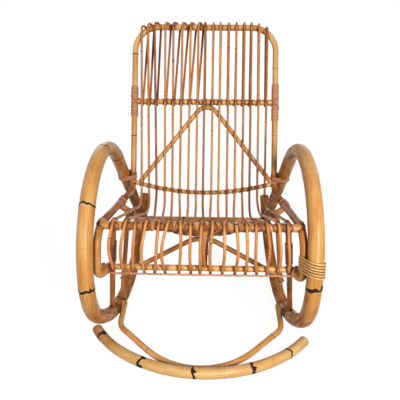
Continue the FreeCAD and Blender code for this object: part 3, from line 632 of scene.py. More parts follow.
def cane_material(name, colours, grain=0.45, mottle=0.5, wave=11.0, jag=3.0, ring=2.0, roughness=0.3):
    """Varnished cane. Its mesh gives the place on the pole, the distance to the nearest node and the tone."""
    shader = Shader(bpy.data.materials.new(name))
    colours = [linear(*colour) for colour in colours]
    palest, darkest = colours[0], colours[-1]
    place = shader.node("ShaderNodeAttribute", {"attribute_name": "cane"}).outputs["Vector"]
    gap = shader.value_of("node")
    ink = shader.value_of("ink")

    fibre = shader.cane_noise(place, *FIBRE)
    streak = shader.cane_noise(place, *STREAK)
    blotch = shader.cane_noise(place, *BLOTCH)
    shade = shader.about(fibre, grain, shader.value_of("tone"))
    shade = shader.about(streak, grain, shade)
    shade = shader.about(blotch, mottle, shade)
    colour = shader.ramp(shade, list(zip(TONE_STOPS, colours)))

    # small brown scars
    scar = shader.smooth(shader.cane_noise(place, *SCAR), *SCAR_LIMITS)
    colour = shader.mix(shader.math("MULTIPLY", scar, SCAR_DEPTH), colour, darkest)

    # painted shade in the crevices where canes touch, which also stands for old varnish and dust there
    around = shader.node("ShaderNodeAmbientOcclusion", {"samples": 8}, Distance=CREVICE_SHADE_REACH)
    crevice_shade_and_dust = shader.smooth(around.outputs["AO"], *CREVICE_SHADE_LIMITS, CREVICE_SHADE_DEPTH, 0.0)
    colour = shader.mix(crevice_shade_and_dust, colour, darkest)

    # the node: a wavy, jagged dark ring that breaks up where it has little ink, and blots where it has much
    wavy = shader.about(shader.cane_noise(place, *RING_WAVES), 2 * wave, gap)
    edge = shader.math("ABSOLUTE", shader.about(shader.cane_noise(place, *RING_TEETH), 2 * jag, wavy))
    line = shader.math("MULTIPLY_ADD", ink, -ring, edge)
    line = shader.smooth(line, 0.0, RING_SOFTNESS * ring, 1.0, 0.0)
    breaks = shader.math("ADD", shader.cane_noise(place, *RING_BREAKS), ink)
    line = shader.math("MULTIPLY", line, shader.smooth(breaks, *RING_BREAK_LIMITS))
    far = shader.math("ABSOLUTE", shader.math("SUBTRACT", wavy, BLOT_PLACE))
    blot = shader.math("MULTIPLY_ADD", ink, BLOT_INK, shader.cane_noise(place, *BLOT))
    blot = shader.smooth(shader.math("MULTIPLY_ADD", far, -BLOT_FADE, blot), *BLOT_LIMITS)
    worn = shader.smooth(shader.math("ABSOLUTE", gap), *WORN_LIMITS, WORN_DEPTH, 0.0)
    colour = shader.mix(worn, colour, palest)
    depth = shader.smooth(ink, 0.0, FULL_INK, FAINT_RING, 1.0)
    mark = shader.math("MAXIMUM", shader.math("MULTIPLY", line, depth), blot)
    shader.paint("Base Color", shader.mix(mark, colour, INK))

    # the varnish is dull where the cane is dark and at the nodes
    dull = shader.smooth(shade, *DULL_LIMITS, roughness, DULL)
    dull = shader.math("MAXIMUM", dull, shader.math("MULTIPLY", mark, DULL))
    shader.paint("Roughness", shader.about(blotch, UNEVEN_GLOSS, dull))
    shader.paint("Specular IOR Level", GLOSS)
    shader.bump(shader.math("SUBTRACT", shader.math("MULTIPLY", fibre, FIBRE_RELIEF), line), *RELIEF)
    return shader.owner


def cut_material():
    """The sawn end of a cane, with its pores."""
    shader = Shader(bpy.data.materials.new("cut_end"))
    place = shader.coordinates()
    pores = shader.node("ShaderNodeTexVoronoi", None, Vector=place, Scale=620.0).outputs["Distance"]
    cloud = shader.noise(place, scale=90.0, detail=3.0)
    colour = shader.ramp(cloud, [(0.3, linear(140, 90, 50)), (0.7, linear(205, 152, 96))])
    in_pore = shader.smooth(pores, low=0.12, high=0.3, bottom=1.0, top=0.0)
    shader.paint("Base Color", shader.mix(in_pore, colour, linear(80, 44, 24)))
    shader.paint("Roughness", 0.75)
    shader.bump(pores, strength=0.5, distance=0.0008)
    return shader.owner


def nail_material():
    """Old iron with some rust."""
    shader = Shader(bpy.data.materials.new("nail_iron"))
    rust = shader.noise(shader.coordinates(), scale=900.0, detail=3.0)
    shader.paint("Base Color", shader.ramp(rust, [(0.35, linear(120, 110, 102)), (0.7, linear(104, 58, 34))]))
    shader.paint("Roughness", shader.about(rust, size=0.4, base=0.5))
    shader.paint("Metallic", 1.0)
    shader.bump(rust, strength=0.3, distance=0.0002)
    return shader.owner


# The colours of each cane from its palest to its darkest tone
THICK = cane_material("thick_cane", [(248, 206, 134), (226, 164, 90), (196, 122, 46), (100, 50, 18)],
                      mottle=0.75, ring=2.6)
THIN = cane_material("thin_cane", [(246, 198, 126), (218, 152, 80), (178, 104, 42), (74, 32, 12)],
                     mottle=0.75, wave=2.5, jag=1.6, ring=1.7)
ROD = cane_material("rod_cane", [(246, 184, 106), (216, 140, 68), (172, 96, 42), (70, 30, 12)],
                    grain=0.4, mottle=0.6, wave=0.6, jag=0.6, ring=1.2)
LASHING = cane_material("lashing_cane", [(244, 190, 144), (214, 150, 104), (166, 98, 60), (78, 34, 20)],
                        roughness=0.4)
CUT = cut_material()
IRON = nail_material()


# Meshes

# The materials' coordinates shift from piece to piece and from strand to strand, so that no two look alike
PIECE_SHIFT = 4000.0
STRAND_SHIFT = 37.0
# The distance to the nearest node where there is none
NO_NODE = 500.0


def placed(name, data):
    """A new object in the scene that shows the data."""
    made = bpy.data.objects.new(name, data)
    bpy.context.scene.collection.objects.link(made)
    return made


class Piece:
    """One shown object, gathered from swept strands, with the values that the cane materials read."""

    made = 0

    def __init__(self, name, slot="lashing", material=LASHING, cut=CUT):
        self.name = name
        self.slot = slot
        self.material = material
        self.cut = cut
        self.verts = []
        self.faces = []
        self.ends = []
        self.values = {"cane": [], "node": [], "ink": [], "tone": []}
        self.count = 0
        Piece.made += 1
        self.offset = Piece.made * PIECE_SHIFT

    def grid(self, places, cane, node=NO_NODE, ink=0.0, tone=0.0, caps=True):
        """A grid of points, closed round its second direction."""
        rows, columns = places.shape[:2]
        self.verts.append(places.reshape(-1, 3))
        self.values["cane"].append(cane.reshape(-1, 3) + (0, 0, self.offset))
        for key, value in (("node", node), ("ink", ink), ("tone", tone)):
            by_row = value if np.ndim(value) == 2 else np.reshape(value, (-1, 1))
            self.values[key].append(np.broadcast_to(by_row, (rows, columns)).ravel())
        index = self.count + np.arange(rows * columns).reshape(rows, columns)
        following = np.roll(index, -1, axis=1)
        for row in range(rows - 1):
            corners = [index[row], following[row], following[row + 1], index[row + 1]]
            self.faces.append(np.stack(corners, axis=1))
        if caps:
            self.ends.append(list(index[0][::-1]))
            self.ends.append(list(index[-1]))
        self.count += rows * columns
        self.offset += STRAND_SHIFT

    def sweep(self, places, sides, outs, half_side, half_out, along, columns, **values):
        """Elliptic rings of points round each place of a line, unrolled for the cane's coordinates."""
        turn = np.linspace(0, tau, columns, endpoint=False)
        side_part = np.cos(turn) * np.broadcast_to(half_side, len(places))[:, None]
        out_part = np.sin(turn) * np.broadcast_to(half_out, len(places))[:, None]
        points = places[:, None] + side_part[..., None] * sides[:, None] + out_part[..., None] * outs[:, None]
        along_part = np.broadcast_to(along, len(places))[:, None] + np.zeros(columns)
        self.grid(points, np.stack([side_part, out_part, along_part], axis=-1), **values)

    def finish(self, *nodes):
        """Makes the object, in the place of the CAD nodes if any are named."""
        faces = [list(map(int, face)) for face in np.concatenate(self.faces)]
        mesh = bpy.data.meshes.new(self.name)
        mesh.from_pydata(np.concatenate(self.verts) / METRE, [], faces + self.ends)
        mesh.materials.append(self.material)
        mesh.materials.append(self.cut)
        mesh.polygons.foreach_set("use_smooth", [True] * len(faces) + [False] * len(self.ends))
        mesh.polygons.foreach_set("material_index", [0] * len(faces) + [1] * len(self.ends))
        for key, parts in self.values.items():
            kind, field = ("FLOAT_VECTOR", "vector") if key == "cane" else ("FLOAT", "value")
            attribute = mesh.attributes.new(key, kind, "POINT")
            attribute.data.foreach_set(field, np.concatenate(parts).astype(np.float32).ravel())
        made = placed(self.name, mesh)
        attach(made, "root")
        if nodes:
            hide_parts(*nodes)


def carried(headings, first):
    """A side direction for each heading, carried along from the first without twisting."""
    sides = np.empty_like(headings)
    side = np.array(first, float)
    for k, heading in enumerate(headings):
        side = unit(side - heading * side.dot(heading))
        sides[k] = side
    return sides


# A pole's node: where its rings of points lie, how far its swelling and its groove reach, and the groove's
# depth as a share of the swelling
NODE_STEPS = (-14.0, -9.0, -6.0, -4.0, -2.5, -1.2, 0.0, 1.2, 2.5, 4.0, 6.0, 9.0, 14.0)
SWELL_REACH = 7.0
GROOVE_REACH = 1.4
GROOVE_SHARE = 0.6
# Scattered nodes: the ranges of the first one's distance and of the further steps, both as shares of the
# spacing, the range of the ink, and the end of a pole that stays free
FIRST_NODE = (0.2, 0.8)
NODE_STRIDE = (0.75, 1.3)
NODE_INK = (0.5, 1.3)
NODE_FREE_END = 12.0
CROSSING_STEP = 4.0


def nearest_node(stations, nodes):
    """Signed distance to the nearest node of each station, and that node's ink."""
    if not nodes:
        return np.full_like(stations, NO_NODE), np.zeros_like(stations)
    places = np.array([place for place, _ in nodes])
    inks = np.array([ink for _, ink in nodes])
    which = np.argmin(np.abs(stations[:, None] - places[None, :]), axis=1)
    return stations - places[which], inks[which]


def pole(name, path, nodes, tone, slot="thin_pole", material=THIN, ending="_cane", columns=20, swell=0.03,
         bevel=0.9):
    """A round pole in the place of the CAD node of that name; its cane's nodes swell, with a fine groove."""
    stations = set(np.linspace(0, path.length, max(2, int(path.length / POLE_STEP))))
    stations.update((bevel, path.length - bevel))
    for place, _ in nodes:
        stations.update(place + offset for offset in NODE_STEPS if 0 < place + offset < path.length)
    stations = np.array(sorted(stations))
    gap, ink = nearest_node(stations, nodes)
    bulge = swell * np.exp(-(gap / SWELL_REACH) ** 2)
    groove = GROOVE_SHARE * swell * np.exp(-(gap / GROOVE_REACH) ** 2)
    radii = path.radius * (1 - swell + bulge - groove)
    radii[[0, -1]] -= bevel
    headings = path.heading(stations)
    starts_sideways = abs(headings[0][0]) > 0.9
    sides = carried(headings, (0, 1, 0) if starts_sideways else (1, 0, 0))
    outs = np.cross(headings, sides)
    piece = Piece(name + ending, slot, material)
    piece.sweep(path.at(stations), sides, outs, radii, radii, stations, columns, node=gap, ink=ink,
                tone=tone(stations) if callable(tone) else tone)
    piece.finish(name)


def add_nail(piece, path, station, outward):
    """A domed nail head on a pole, facing outward."""
    heading = path.heading(station)
    outward = unit(outward - heading * heading.dot(outward))
    rise = np.linspace(0, NAIL_DOME, NAIL_RINGS)
    half = NAIL_RADIUS * np.cos(rise)
    base = path.at(station) + outward * (path.radius - NAIL_SUNK)
    places = base + np.outer(NAIL_HEIGHT * np.sin(rise), outward)
    sides = np.broadcast_to(heading, places.shape)
    outs = np.broadcast_to(np.cross(outward, heading), places.shape)
    piece.sweep(places, sides, outs, half, half, along=0.0, columns=NAIL_COLUMNS)


def scattered_nodes(path, spacing, ink):
    """Nodes at uneven distances, as a cane has them."""
    nodes = []
    place = spacing * rng.uniform(*FIRST_NODE)
    while place < path.length - NODE_FREE_END:
        nodes.append((place, ink * rng.uniform(*NODE_INK)))
        place += spacing * rng.uniform(*NODE_STRIDE)
    return nodes


def dust_and_shade_at_crossings(path, others, base, depth=0.35, width=8.0):
    """A tone along a path that darkens where other poles cross it: painted shade at the contact, which also
    stands for varnish and dust gathered there.
    """
    stations = np.arange(0.0, path.length, CROSSING_STEP)
    marks = []
    for other in others:
        spots = other.at(np.arange(0.0, other.length, CROSSING_STEP))
        gaps = norm(path.at(stations)[:, None] - spots, axis=2).min(axis=1)
        marks.append(stations[np.argmin(gaps)])

    def tone(along):
        plain = base(along) if callable(base) else base
        return plain + depth * np.exp(-((along[:, None] - np.array(marks)) / width) ** 2).sum(axis=1)

    return tone


def tone_line(*stops):
    """A tone that runs through stops, each a distance along the pole and the tone there."""
    places, tones = zip(*stops)
    return lambda along: np.interp(along, places, tones)


# Lashings

# A direction that no tie's axis follows, and how finely strands are drawn
ASKEW = (0.31, 0.84, 0.45)
POLE_POINTS = 40
LOOP_POINTS = 44
STRAND_COLUMNS = 8
# Close wraps: rows of points to a turn, and how the strand's thickness divides into round top and base
WRAP_ROWS = 9
WRAP_COLUMNS = 28
WRAP_SIDE = (0, 1, 0.2)
WRAP_ROUND_SHARE = 0.55
WRAP_BASE_SHARE = 0.45
WRAP_END_SUNK = 0.5
WRAP_TURN_SHIFT = 9.0
WRAP_SEAM_DARKER = 0.5


def outline(points):
    """The convex outline of points in a plane, anticlockwise."""
    ordered = sorted(map(tuple, points))

    def turns_left(a, b, c):
        return (b[0] - a[0]) * (c[1] - b[1]) - (b[1] - a[1]) * (c[0] - b[0]) > 0

    def half(sequence):
        chain = []
        for point in sequence:
            while len(chain) > 1 and not turns_left(chain[-2], chain[-1], point):
                chain.pop()
            chain.append(point)
        return chain[:-1]

    return np.array(half(ordered) + half(reversed(ordered)))


def loop_round(poles, middle, axis, lift):
    """A closed loop in the plane across axis, drawn tight round poles given as (point, heading, radius)."""
    across = unit(np.cross(axis, ASKEW))
    upward = np.cross(axis, across)
    flat = []
    for point, heading, radius in poles:
        heading = unit(heading)
        # a little of across keeps this from vanishing where the pole runs along axis
        first = unit(np.cross(heading, axis + 0.01 * across))
        second = np.cross(heading, first)
        for angle in np.linspace(0, tau, POLE_POINTS, endpoint=False):
            spot = point + (radius + lift) * (first * cos(angle) + second * sin(angle))
            spot = spot + heading * (axis.dot(middle - spot) / axis.dot(heading))
            flat.append(((spot - middle).dot(across), (spot - middle).dot(upward)))
    edge = outline(flat)
    closed = np.vstack([edge, edge[:1]])
    run = distances(closed)
    stations = np.linspace(0, run[-1], LOOP_POINTS, endpoint=False)
    loop = np.stack([np.interp(stations, run, closed[:, k]) for k in range(2)], axis=-1)
    loop = middle + loop[:, :1] * across + loop[:, 1:] * upward
    return np.roll(loop, -int(np.argmax(loop[:, 1])), axis=0)


def wind(piece, poles, middle, axis, climbing=None, turns=1, pitch=4.0, width=2.6, thickness=1.0, tone=0.4):
    """A flat strand wound in turns round poles across axis, climbing along it, its ends tucked behind."""
    axis = unit(np.asarray(axis, float))
    loop = loop_round(poles, middle, axis, thickness)
    total = turns * LOOP_POINTS + 1
    climb = (np.arange(total) / LOOP_POINTS - turns / 2) * pitch
    places = loop[np.arange(total) % LOOP_POINTS] + climb[:, None] * (axis if climbing is None else climbing)
    headings = np.gradient(places, axis=0)
    headings /= norm(headings, axis=1, keepdims=True)
    sides = np.broadcast_to(axis, places.shape)
    sides = sides - headings * np.sum(sides * headings, axis=1, keepdims=True)
    sides /= norm(sides, axis=1, keepdims=True)
    outs = np.cross(headings, sides)
    piece.sweep(places, sides, outs, width / 2, thickness, distances(places), STRAND_COLUMNS, tone=tone)


def band(piece, path, spot, **settings):
    """A strand wound round one pole."""
    here = path.near(spot)
    wind(piece, [here], spot, here[1], **settings)


def cross_tie(piece, first, second, more=(), slants=(1, -1), **settings):
    """Strands slanting over two poles that cross; one each way makes an X."""
    middle = (first[0] + second[0]) / 2
    for slant in slants:
        wind(piece, [first, second, *more], middle, first[1] + slant * second[1], **settings)


def close_wrap(name, start, end, radius, pitch, thickness, tone):
    """A close winding of cane round a straight pole: one long strand whose turns lie side by side."""
    length = norm(end - start)
    heading = unit(end - start)
    stations = np.linspace(0, length, int(length / pitch * WRAP_ROWS))
    turn = np.linspace(0, tau, WRAP_COLUMNS, endpoint=False)
    number = stations[:, None] / pitch + turn[None, :] / tau
    share = number % 1.0
    across = 2 * share - 1
    height = thickness * np.sqrt(np.maximum(0.0, 1 - across ** 6)) * WRAP_ROUND_SHARE
    height += thickness * WRAP_BASE_SHARE
    height[[0, -1]] = -WRAP_END_SUNK
    first = unit(np.cross(heading, WRAP_SIDE))
    second = np.cross(heading, first)
    ring = np.cos(turn)[:, None] * first + np.sin(turn)[:, None] * second
    places = start + stations[:, None, None] * heading + (radius + height)[..., None] * ring[None]
    # the fibres run round the pole, so the unrolled strand is counted turn by turn
    run = number * tau * radius
    cane = np.stack([(share - 0.5) * pitch, np.floor(number) * WRAP_TURN_SHIFT, run], axis=-1)
    piece = Piece(name + "_turns")
    piece.grid(places, cane, tone=tone + WRAP_SEAM_DARKER * np.abs(across) ** 5, caps=False)
    piece.finish(name)


# The poles

ARM = arm_rocker_path()
SIDE = bent([back_point(UPRIGHT_X, SPLICE_ALONG), back_point(UPRIGHT_X, 0),
             SEAT_CORNER, ELBOW_CORNER, ELBOW_END],
            [SEAT_BEND_RADIUS, SEAT_CORNER_RADIUS, ELBOW_RADIUS], FRAME_RADIUS)
HOOP = bent([back_point(-UPRIGHT_X, SPLICE_ALONG), back_point(-UPRIGHT_X, BACK_LENGTH),
             back_point(UPRIGHT_X, BACK_LENGTH), back_point(UPRIGHT_X, SPLICE_ALONG)],
            [BACK_CORNER_RADIUS, BACK_CORNER_RADIUS], FRAME_RADIUS)
BOW = bow_path()
BOW_STRUT = bow_strut_path()
STRUT = Path([vec(STRUT_TOP_X, FRONT_RAIL_Y, FRONT_RAIL_HEIGHT),
              vec(POLE_HALF_SPACING, STRUT_FOOT_Y, rocker_height(STRUT_FOOT_Y))], STRUT_RADIUS)
LEG = Path([vec(LEG_TOP_X, REAR_RAIL_Y, rear_rail_height(LEG_TOP_X)),
            vec(LEG_FOOT_X, LEG_FOOT_Y, rocker_height(LEG_FOOT_Y))], LEG_RADIUS)
ARCH = arch_path(LEG)
BRACE = back_brace_path()
LOW_RAIL = Path(arc(*[back_point(x, low_rail_along(x), LOW_RAIL_FORWARD)
                      for x in (-UPRIGHT_X, 0, UPRIGHT_X)]), LOW_RAIL_RADIUS)
REAR_RAIL = Path(arc(*[vec(x, REAR_RAIL_Y, rear_rail_height(x))
                       for x in (-REAR_RAIL_HALF_LENGTH, 0, REAR_RAIL_HALF_LENGTH)]), REAR_RAIL_RADIUS)
MID_RAIL = Path([back_point(sign * UPRIGHT_X, MID_RAIL_ALONG) for _, sign in SIDES], MID_RAIL_RADIUS)
FRONT_RAIL = level_path(SEAT_CORNER[0], FRONT_RAIL_Y, FRONT_RAIL_HEIGHT, FRONT_RAIL_RADIUS)
APRON_RAIL = level_path(SEAT_CORNER[0], APRON_RAIL_Y, APRON_RAIL_HEIGHT, APRON_RAIL_RADIUS)
STRETCHER = level_path(POLE_HALF_SPACING, STRETCHER_Y, STRETCHER_HEIGHT, STRETCHER_RADIUS)
POST = Path([vec(CENTRE_POST_X, FRONT_RAIL_Y, FRONT_RAIL_HEIGHT),
             vec(CENTRE_POST_X, APRON_RAIL_Y, APRON_RAIL_HEIGHT)], CENTRE_POST_RADIUS)
RODS = [hand_bent(rod_path(number), number) for number in range(ROD_COUNT)]
RAILS = (HOOP, MID_RAIL, LOW_RAIL, REAR_RAIL, FRONT_RAIL, APRON_RAIL)

# Nodes that the photograph shows: how far along, and how dark
ARM_NODES = {
    "left": [(150, 0.6), (430, 0.6), (727, 0.8), (908, 0.9), (1212, 1.1), (1430, 0.75), (1657, 0.85),
             (1850, 0.8), (2250, 0.5)],
    "right": [(140, 0.6), (602, 0.8), (876, 0.8), (1228, 1.05), (1532, 0.25), (1880, 0.4), (2200, 0.5)],
}
HOOP_NODES = [(175, 0.8), (480, 0.4), (872, 0.5)]
STRETCHER_NODES = [(197, 1.1), (386, 1.0)]
BOW_NODES = [(48, 1.5), (235, 1.35), (401, 1.1), (572, 1.2), (709, 1.0)]
BOW_STRUT_NODES = [(60, 0.4), (140, 0.6), (330, 0.4), (578, 0.55), (677, 0.5)]

# Golden at the front hoop, browner on the runner and on the arm's rear half: painted shade there, as well as
# darker varnish
ARM_TONE_WITH_SHADE = tone_line((0, 0.8), (500, 0.74), (800, 0.62), (1100, 0.66), (1300, 0.38), (1700, 0.38),
                     (1900, 0.62), (2400, 0.78))
# Light on the upright, brown along the seat and lighter again at the drop in front
SIDE_TONE = tone_line((0, 0.3), (280, 0.34), (340, 0.62), (800, 0.56), (880, 0.4))
# Browner at the left end
BOW_TONE = tone_line((0, 0.62), (60, 0.5), (200, 0.2))

# Poles on both sides with scattered nodes: name, path, the nodes' spacing and ink, the tone, how much and how
# widely painted shade and dust darken it where other poles cross, how many sides are drawn, and the other
# poles
SIDE_POLES = (
    ("side_frame_", SIDE, 310, 0.6, SIDE_TONE, 0.4, 14.0, 24,
     (ARM, REAR_RAIL, LOW_RAIL, FRONT_RAIL, APRON_RAIL)),
    ("front_strut_", STRUT, 190, 0.7, 0.68, 0.3, 12.0, 20, (ARM, FRONT_RAIL, APRON_RAIL)),
    ("rear_leg_", LEG, 150, 0.8, 0.7, 0.3, 12.0, 20, (ARM, ARCH, REAR_RAIL)),
)
# Poles that the rods cross: name, path, the nodes' spacing and ink, the tone and how much painted shade and
# dust darken it
ROD_CROSSED_POLES = (
    ("mid_back_rail", MID_RAIL, 90, 0.5, 0.15, 0.5),
    ("low_back_rail", LOW_RAIL, 120, 0.5, 0.15, 0.5),
    ("back_brace", BRACE, 280, 0.4, 0.28, 0.3),
    ("seat_front_rail", FRONT_RAIL, 170, 0.5, 0.32, 0.45),
    ("seat_rear_rail", REAR_RAIL, 240, 0.5, 0.5, 0.35),
    ("apron_rail", APRON_RAIL, 130, 0.5, 0.14, 0.5),
)

# the arms and the side poles darken with painted shade, and some dust, where the poles listed for them cross
for side_name, sign in SIDES:
    arm_tone = dust_and_shade_at_crossings(ARM, [SIDE, STRUT, LEG, BOW_STRUT, STRETCHER], ARM_TONE_WITH_SHADE, 0.3, 14.0)
    pole("arm_rocker_" + side_name, ARM.sided(sign), ARM_NODES[side_name], arm_tone, "thick_pole", THICK,
         columns=32)
    for name, path, spacing, ink, base, depth, width, columns, others in SIDE_POLES:
        pole(name + side_name, path.sided(sign), scattered_nodes(path, spacing, ink),
             dust_and_shade_at_crossings(path, others, base, depth, width), columns=columns)

# the back hoop and the rails darken with painted shade, and some dust, beside each rod that crosses them
pole("back_hoop", HOOP, HOOP_NODES, dust_and_shade_at_crossings(HOOP, RODS, 0.16, 0.7), columns=24)
for name, path, spacing, ink, base, depth in ROD_CROSSED_POLES:
    pole(name, path, scattered_nodes(path, spacing, ink), dust_and_shade_at_crossings(path, RODS, base, depth))
pole("centre_post", POST, [], 0.5)
pole("seat_arch", ARCH, scattered_nodes(ARCH, 200, 0.7), dust_and_shade_at_crossings(ARCH, [LEG, REAR_RAIL], 0.5))
pole("rear_stretcher", STRETCHER, STRETCHER_NODES, 0.4, columns=24)
pole("foot_bow", BOW, BOW_NODES, BOW_TONE, "thick_pole", THICK, columns=32)
pole("bow_strut", BOW_STRUT, BOW_STRUT_NODES, 0.32, columns=24)

# The rods, each with its own tone
ROD_TONES = (0.36, 0.4, 0.65, 0.3, 0.4, 0.38, 0.3, 0.34, 0.58, 0.35, 0.28, 0.45, 0.34, 0.5, 0.6, 0.3, 0.55)
# painted shade on each rod's strand behind the back
ROD_REAR_SHADE = 0.2
ROD_DARKEST = 0.85
ROD_APRON_TONE = 0.3
ROD_APRON_SHARE = 0.7
ROD_APRON_FROM = 1250
ROD_APRON_FADE = 200


def rod_tone(rod, base):
    """Darker with painted shade on the strand behind the upper back, and near a common light tone on the
    apron.
    """
    rear_end = over_top(rod)

    def tone(along):
        apron = np.clip((along - ROD_APRON_FROM) / ROD_APRON_FADE, 0, 1)
        plain = np.minimum(base + ROD_REAR_SHADE * (along < rear_end), ROD_DARKEST)
        return plain + (ROD_APRON_TONE - base) * ROD_APRON_SHARE * apron

    return tone


# each rod darkens with painted shade, and some dust, where the rails cross it
for number, (rod, base) in enumerate(zip(RODS, ROD_TONES), 1):
    tone = dust_and_shade_at_crossings(rod, RAILS, rod_tone(rod, base), 0.3, 9.0)
    pole("rod_%02d" % number, rod, scattered_nodes(rod, 260, 0.7), tone, "rod", ROD,
         columns=12, swell=0.04, bevel=0.5)

# The trim strip across the rods' lower ends
trim_y = APRON_RAIL_Y - APRON_RAIL_RADIUS - 2 * ROD_RADIUS - TRIM_RADIUS
trim_half = (ROD_COUNT - 1) / 2 * ROD_SEAT_PITCH + ROD_RADIUS
trim_height = APRON_RAIL_HEIGHT - APRON_RAIL_RADIUS
trim_path = Path([vec(x, trim_y + TRIM_WEAVE * cos(2 * pi * x / ROD_SEAT_PITCH),
                      trim_height - TRIM_SAG * cos(x / trim_half * pi / 2))
                  for x in np.linspace(-trim_half, trim_half, TRIM_POINTS)], TRIM_RADIUS)
pole("apron_trim", trim_path, scattered_nodes(trim_path, 150, 0.3), 0.4, "lashing", LASHING, "_strip",
     columns=10, bevel=0.5)


# Close wraps

def shares_of(ends, shares):
    """Two points between the ends of a straight pole."""
    top, foot = ends
    return [top + (foot - top) * share for share in shares]


for (side_name, sign), length in zip(SIDES, UPRIGHT_WRAP_LENGTHS):
    wrap_ends = [back_point(sign * UPRIGHT_X, SPLICE_ALONG + half) for half in (-length / 2, length / 2)]
    close_wrap("upright_wrap_" + side_name, *wrap_ends, FRAME_RADIUS, **UPRIGHT_WRAP)
    wrap_ends = shares_of(STRUT.sided(sign).places, STRUT_WRAP_SHARES)
    close_wrap("strut_wrap_" + side_name, *wrap_ends, STRUT_RADIUS, **STRUT_WRAP)
close_wrap("post_wrap", *shares_of(POST.places, POST_WRAP_SHARES), CENTRE_POST_RADIUS, **POST_WRAP)

# The open winding on the right hoop
hoop_wrap = Piece("hoop_wrap_strand", "lashing", THIN)
hoop_turn = asin((LACE_HEIGHT - HOOP_CENTRE_HEIGHT) / HOOP_TOP_RADIUS)
hoop_y = POLE_RADIUS - LENGTH / 2 + HOOP_TOP_RADIUS * (1 - cos(hoop_turn))
hoop_spot = vec(POLE_HALF_SPACING, hoop_y, LACE_HEIGHT)
hoop_here = ARM.near(hoop_spot)
wind(hoop_wrap, [hoop_here, SIDE.near(hoop_spot + LACE_TO_FRAME)], hoop_spot, hoop_here[1] + LACE_TILT,
     hoop_here[1], turns=6, pitch=7.2, width=5.4, thickness=1.5, tone=0.15)
hoop_wrap.finish("hoop_wrap_right")

# Ties of the uprights to the arms and of the seat frame's poles to each other, and the nails of other joints
nails = Piece("nails", None, IRON, IRON)
for side_name, sign in SIDES:
    arm, side, leg, strut = [path.sided(sign) for path in (ARM, SIDE, LEG, STRUT)]
    spot = vec(sign * (POLE_HALF_SPACING - POLE_RADIUS), ARM_CROSSING_Y, ARM_CROSSING_HEIGHT)
    upright = side.near(spot)
    arm_here = arm.near(spot)
    tie = Piece("arm_tie_%s_strands" % side_name)
    bisector = upright[1] + arm_here[1] * (1 if upright[1].dot(arm_here[1]) > 0 else -1)
    wind(tie, [upright, arm_here], spot, bisector, turns=4, pitch=4.6, width=4.2, thickness=1.3)
    tie.finish("arm_tie_" + side_name)

    small = Piece("frame_ties_" + side_name)
    low_spot = LOW_RAIL.end(sign)
    wind(small, [side.near(low_spot)], low_spot, upright[1], turns=2, pitch=4.4, width=3.6)
    cross_tie(small, side.near(low_spot), LOW_RAIL.near(low_spot - (sign * LOW_TIE_INSET, 0, 0)), width=3.2)
    rear_spot = side_rail_point(REAR_RAIL_Y) * (sign, 1, 1)
    cross_tie(small, side.near(rear_spot), REAR_RAIL.near(rear_spot), width=3.0, tone=0.6)
    band(small, side, side_rail_point(REAR_RAIL_Y - REAR_BAND_AHEAD) * (sign, 1, 1),
         turns=4, pitch=4.6, width=4.2, tone=0.3)
    band(small, side, side_rail_point(FRONT_RAIL_Y + FRONT_BAND_BEHIND) * (sign, 1, 1),
         turns=4, pitch=4.4, width=4.0, tone=0.35)
    elbow_spot = side.at(side.length - ELBOW_TIE_INSET)
    cross_tie(small, side.near(elbow_spot), APRON_RAIL.near(elbow_spot),
              turns=2, pitch=4.4, width=4.0, tone=0.55)
    arch_spot = ARCH.end(sign)
    cross_tie(small, leg.near(arch_spot), ARCH.near(arch_spot), turns=2, width=3.4, tone=0.5)
    small.finish()

    outside = vec(sign, 0, 0)
    add_nail(nails, arm, arm.nearest(STRETCHER.end(sign)), outside)
    add_nail(nails, arm, arm.length - NAIL_ABOVE_FOOT, vec(0, 0, 1))
    add_nail(nails, side, side.nearest(FRONT_RAIL.end(sign)), outside)
    add_nail(nails, leg, leg.length - NAIL_ABOVE_FOOT, -outside)
    add_nail(nails, strut, strut.length - NAIL_ABOVE_FOOT, -outside)
    for reach in BOW_STRUT_NAILS:
        add_nail(nails, BOW_STRUT, reach if sign > 0 else BOW_STRUT.length - reach, -outside)
nails.finish()

# Ties of the rods to the rails; some are an X and some a single slanting strand
TIE_SLANTS = ((1, -1), (1, -1), (1,), (-1,))
front_ties, rear_ties, mid_ties, low_ties = [Piece("rod_ties_%s_rail" % rail)
                                             for rail in ("front", "rear", "mid", "low")]
for path in RODS:
    x_back, x_apron = path.places[0][0], path.places[-1][0]
    rod = path.near(vec(x_apron, FRONT_RAIL_Y + FRONT_TIE_BEHIND,
                        FRONT_RAIL_HEIGHT + FRONT_RAIL_RADIUS + ROD_RADIUS))
    cross_tie(front_ties, FRONT_RAIL.near(rod[0]), rod, slants=rng.choice(TIE_SLANTS), width=3.0,
              tone=rng.uniform(0.35, 0.75))
    rod = path.near(vec(x_apron, REAR_RAIL_Y, rear_rail_height(x_back) + REAR_TIE_ABOVE))
    cross_tie(rear_ties, REAR_RAIL.near(rod[0]), rod, width=3.2, tone=0.35)
    rod = path.near(back_point(x_back, MID_RAIL_ALONG, MID_RAIL_RADIUS + ROD_RADIUS))
    behind = (path.at(REAR_STRAND_DROP), path.heading(REAR_STRAND_DROP), ROD_RADIUS)
    cross_tie(mid_ties, MID_RAIL.near(rod[0]), rod, [behind], rng.choice(TIE_SLANTS), width=2.4,
              thickness=0.8, tone=rng.uniform(0.5, 0.85))
    rod = path.near(back_point(x_back, low_rail_along(x_back), LOW_RAIL_RADIUS + ROD_RADIUS))
    cross_tie(low_ties, LOW_RAIL.near(rod[0]), rod, slants=rng.choice(TIE_SLANTS), width=2.4,
              thickness=0.8, tone=rng.uniform(0.6, 0.9))
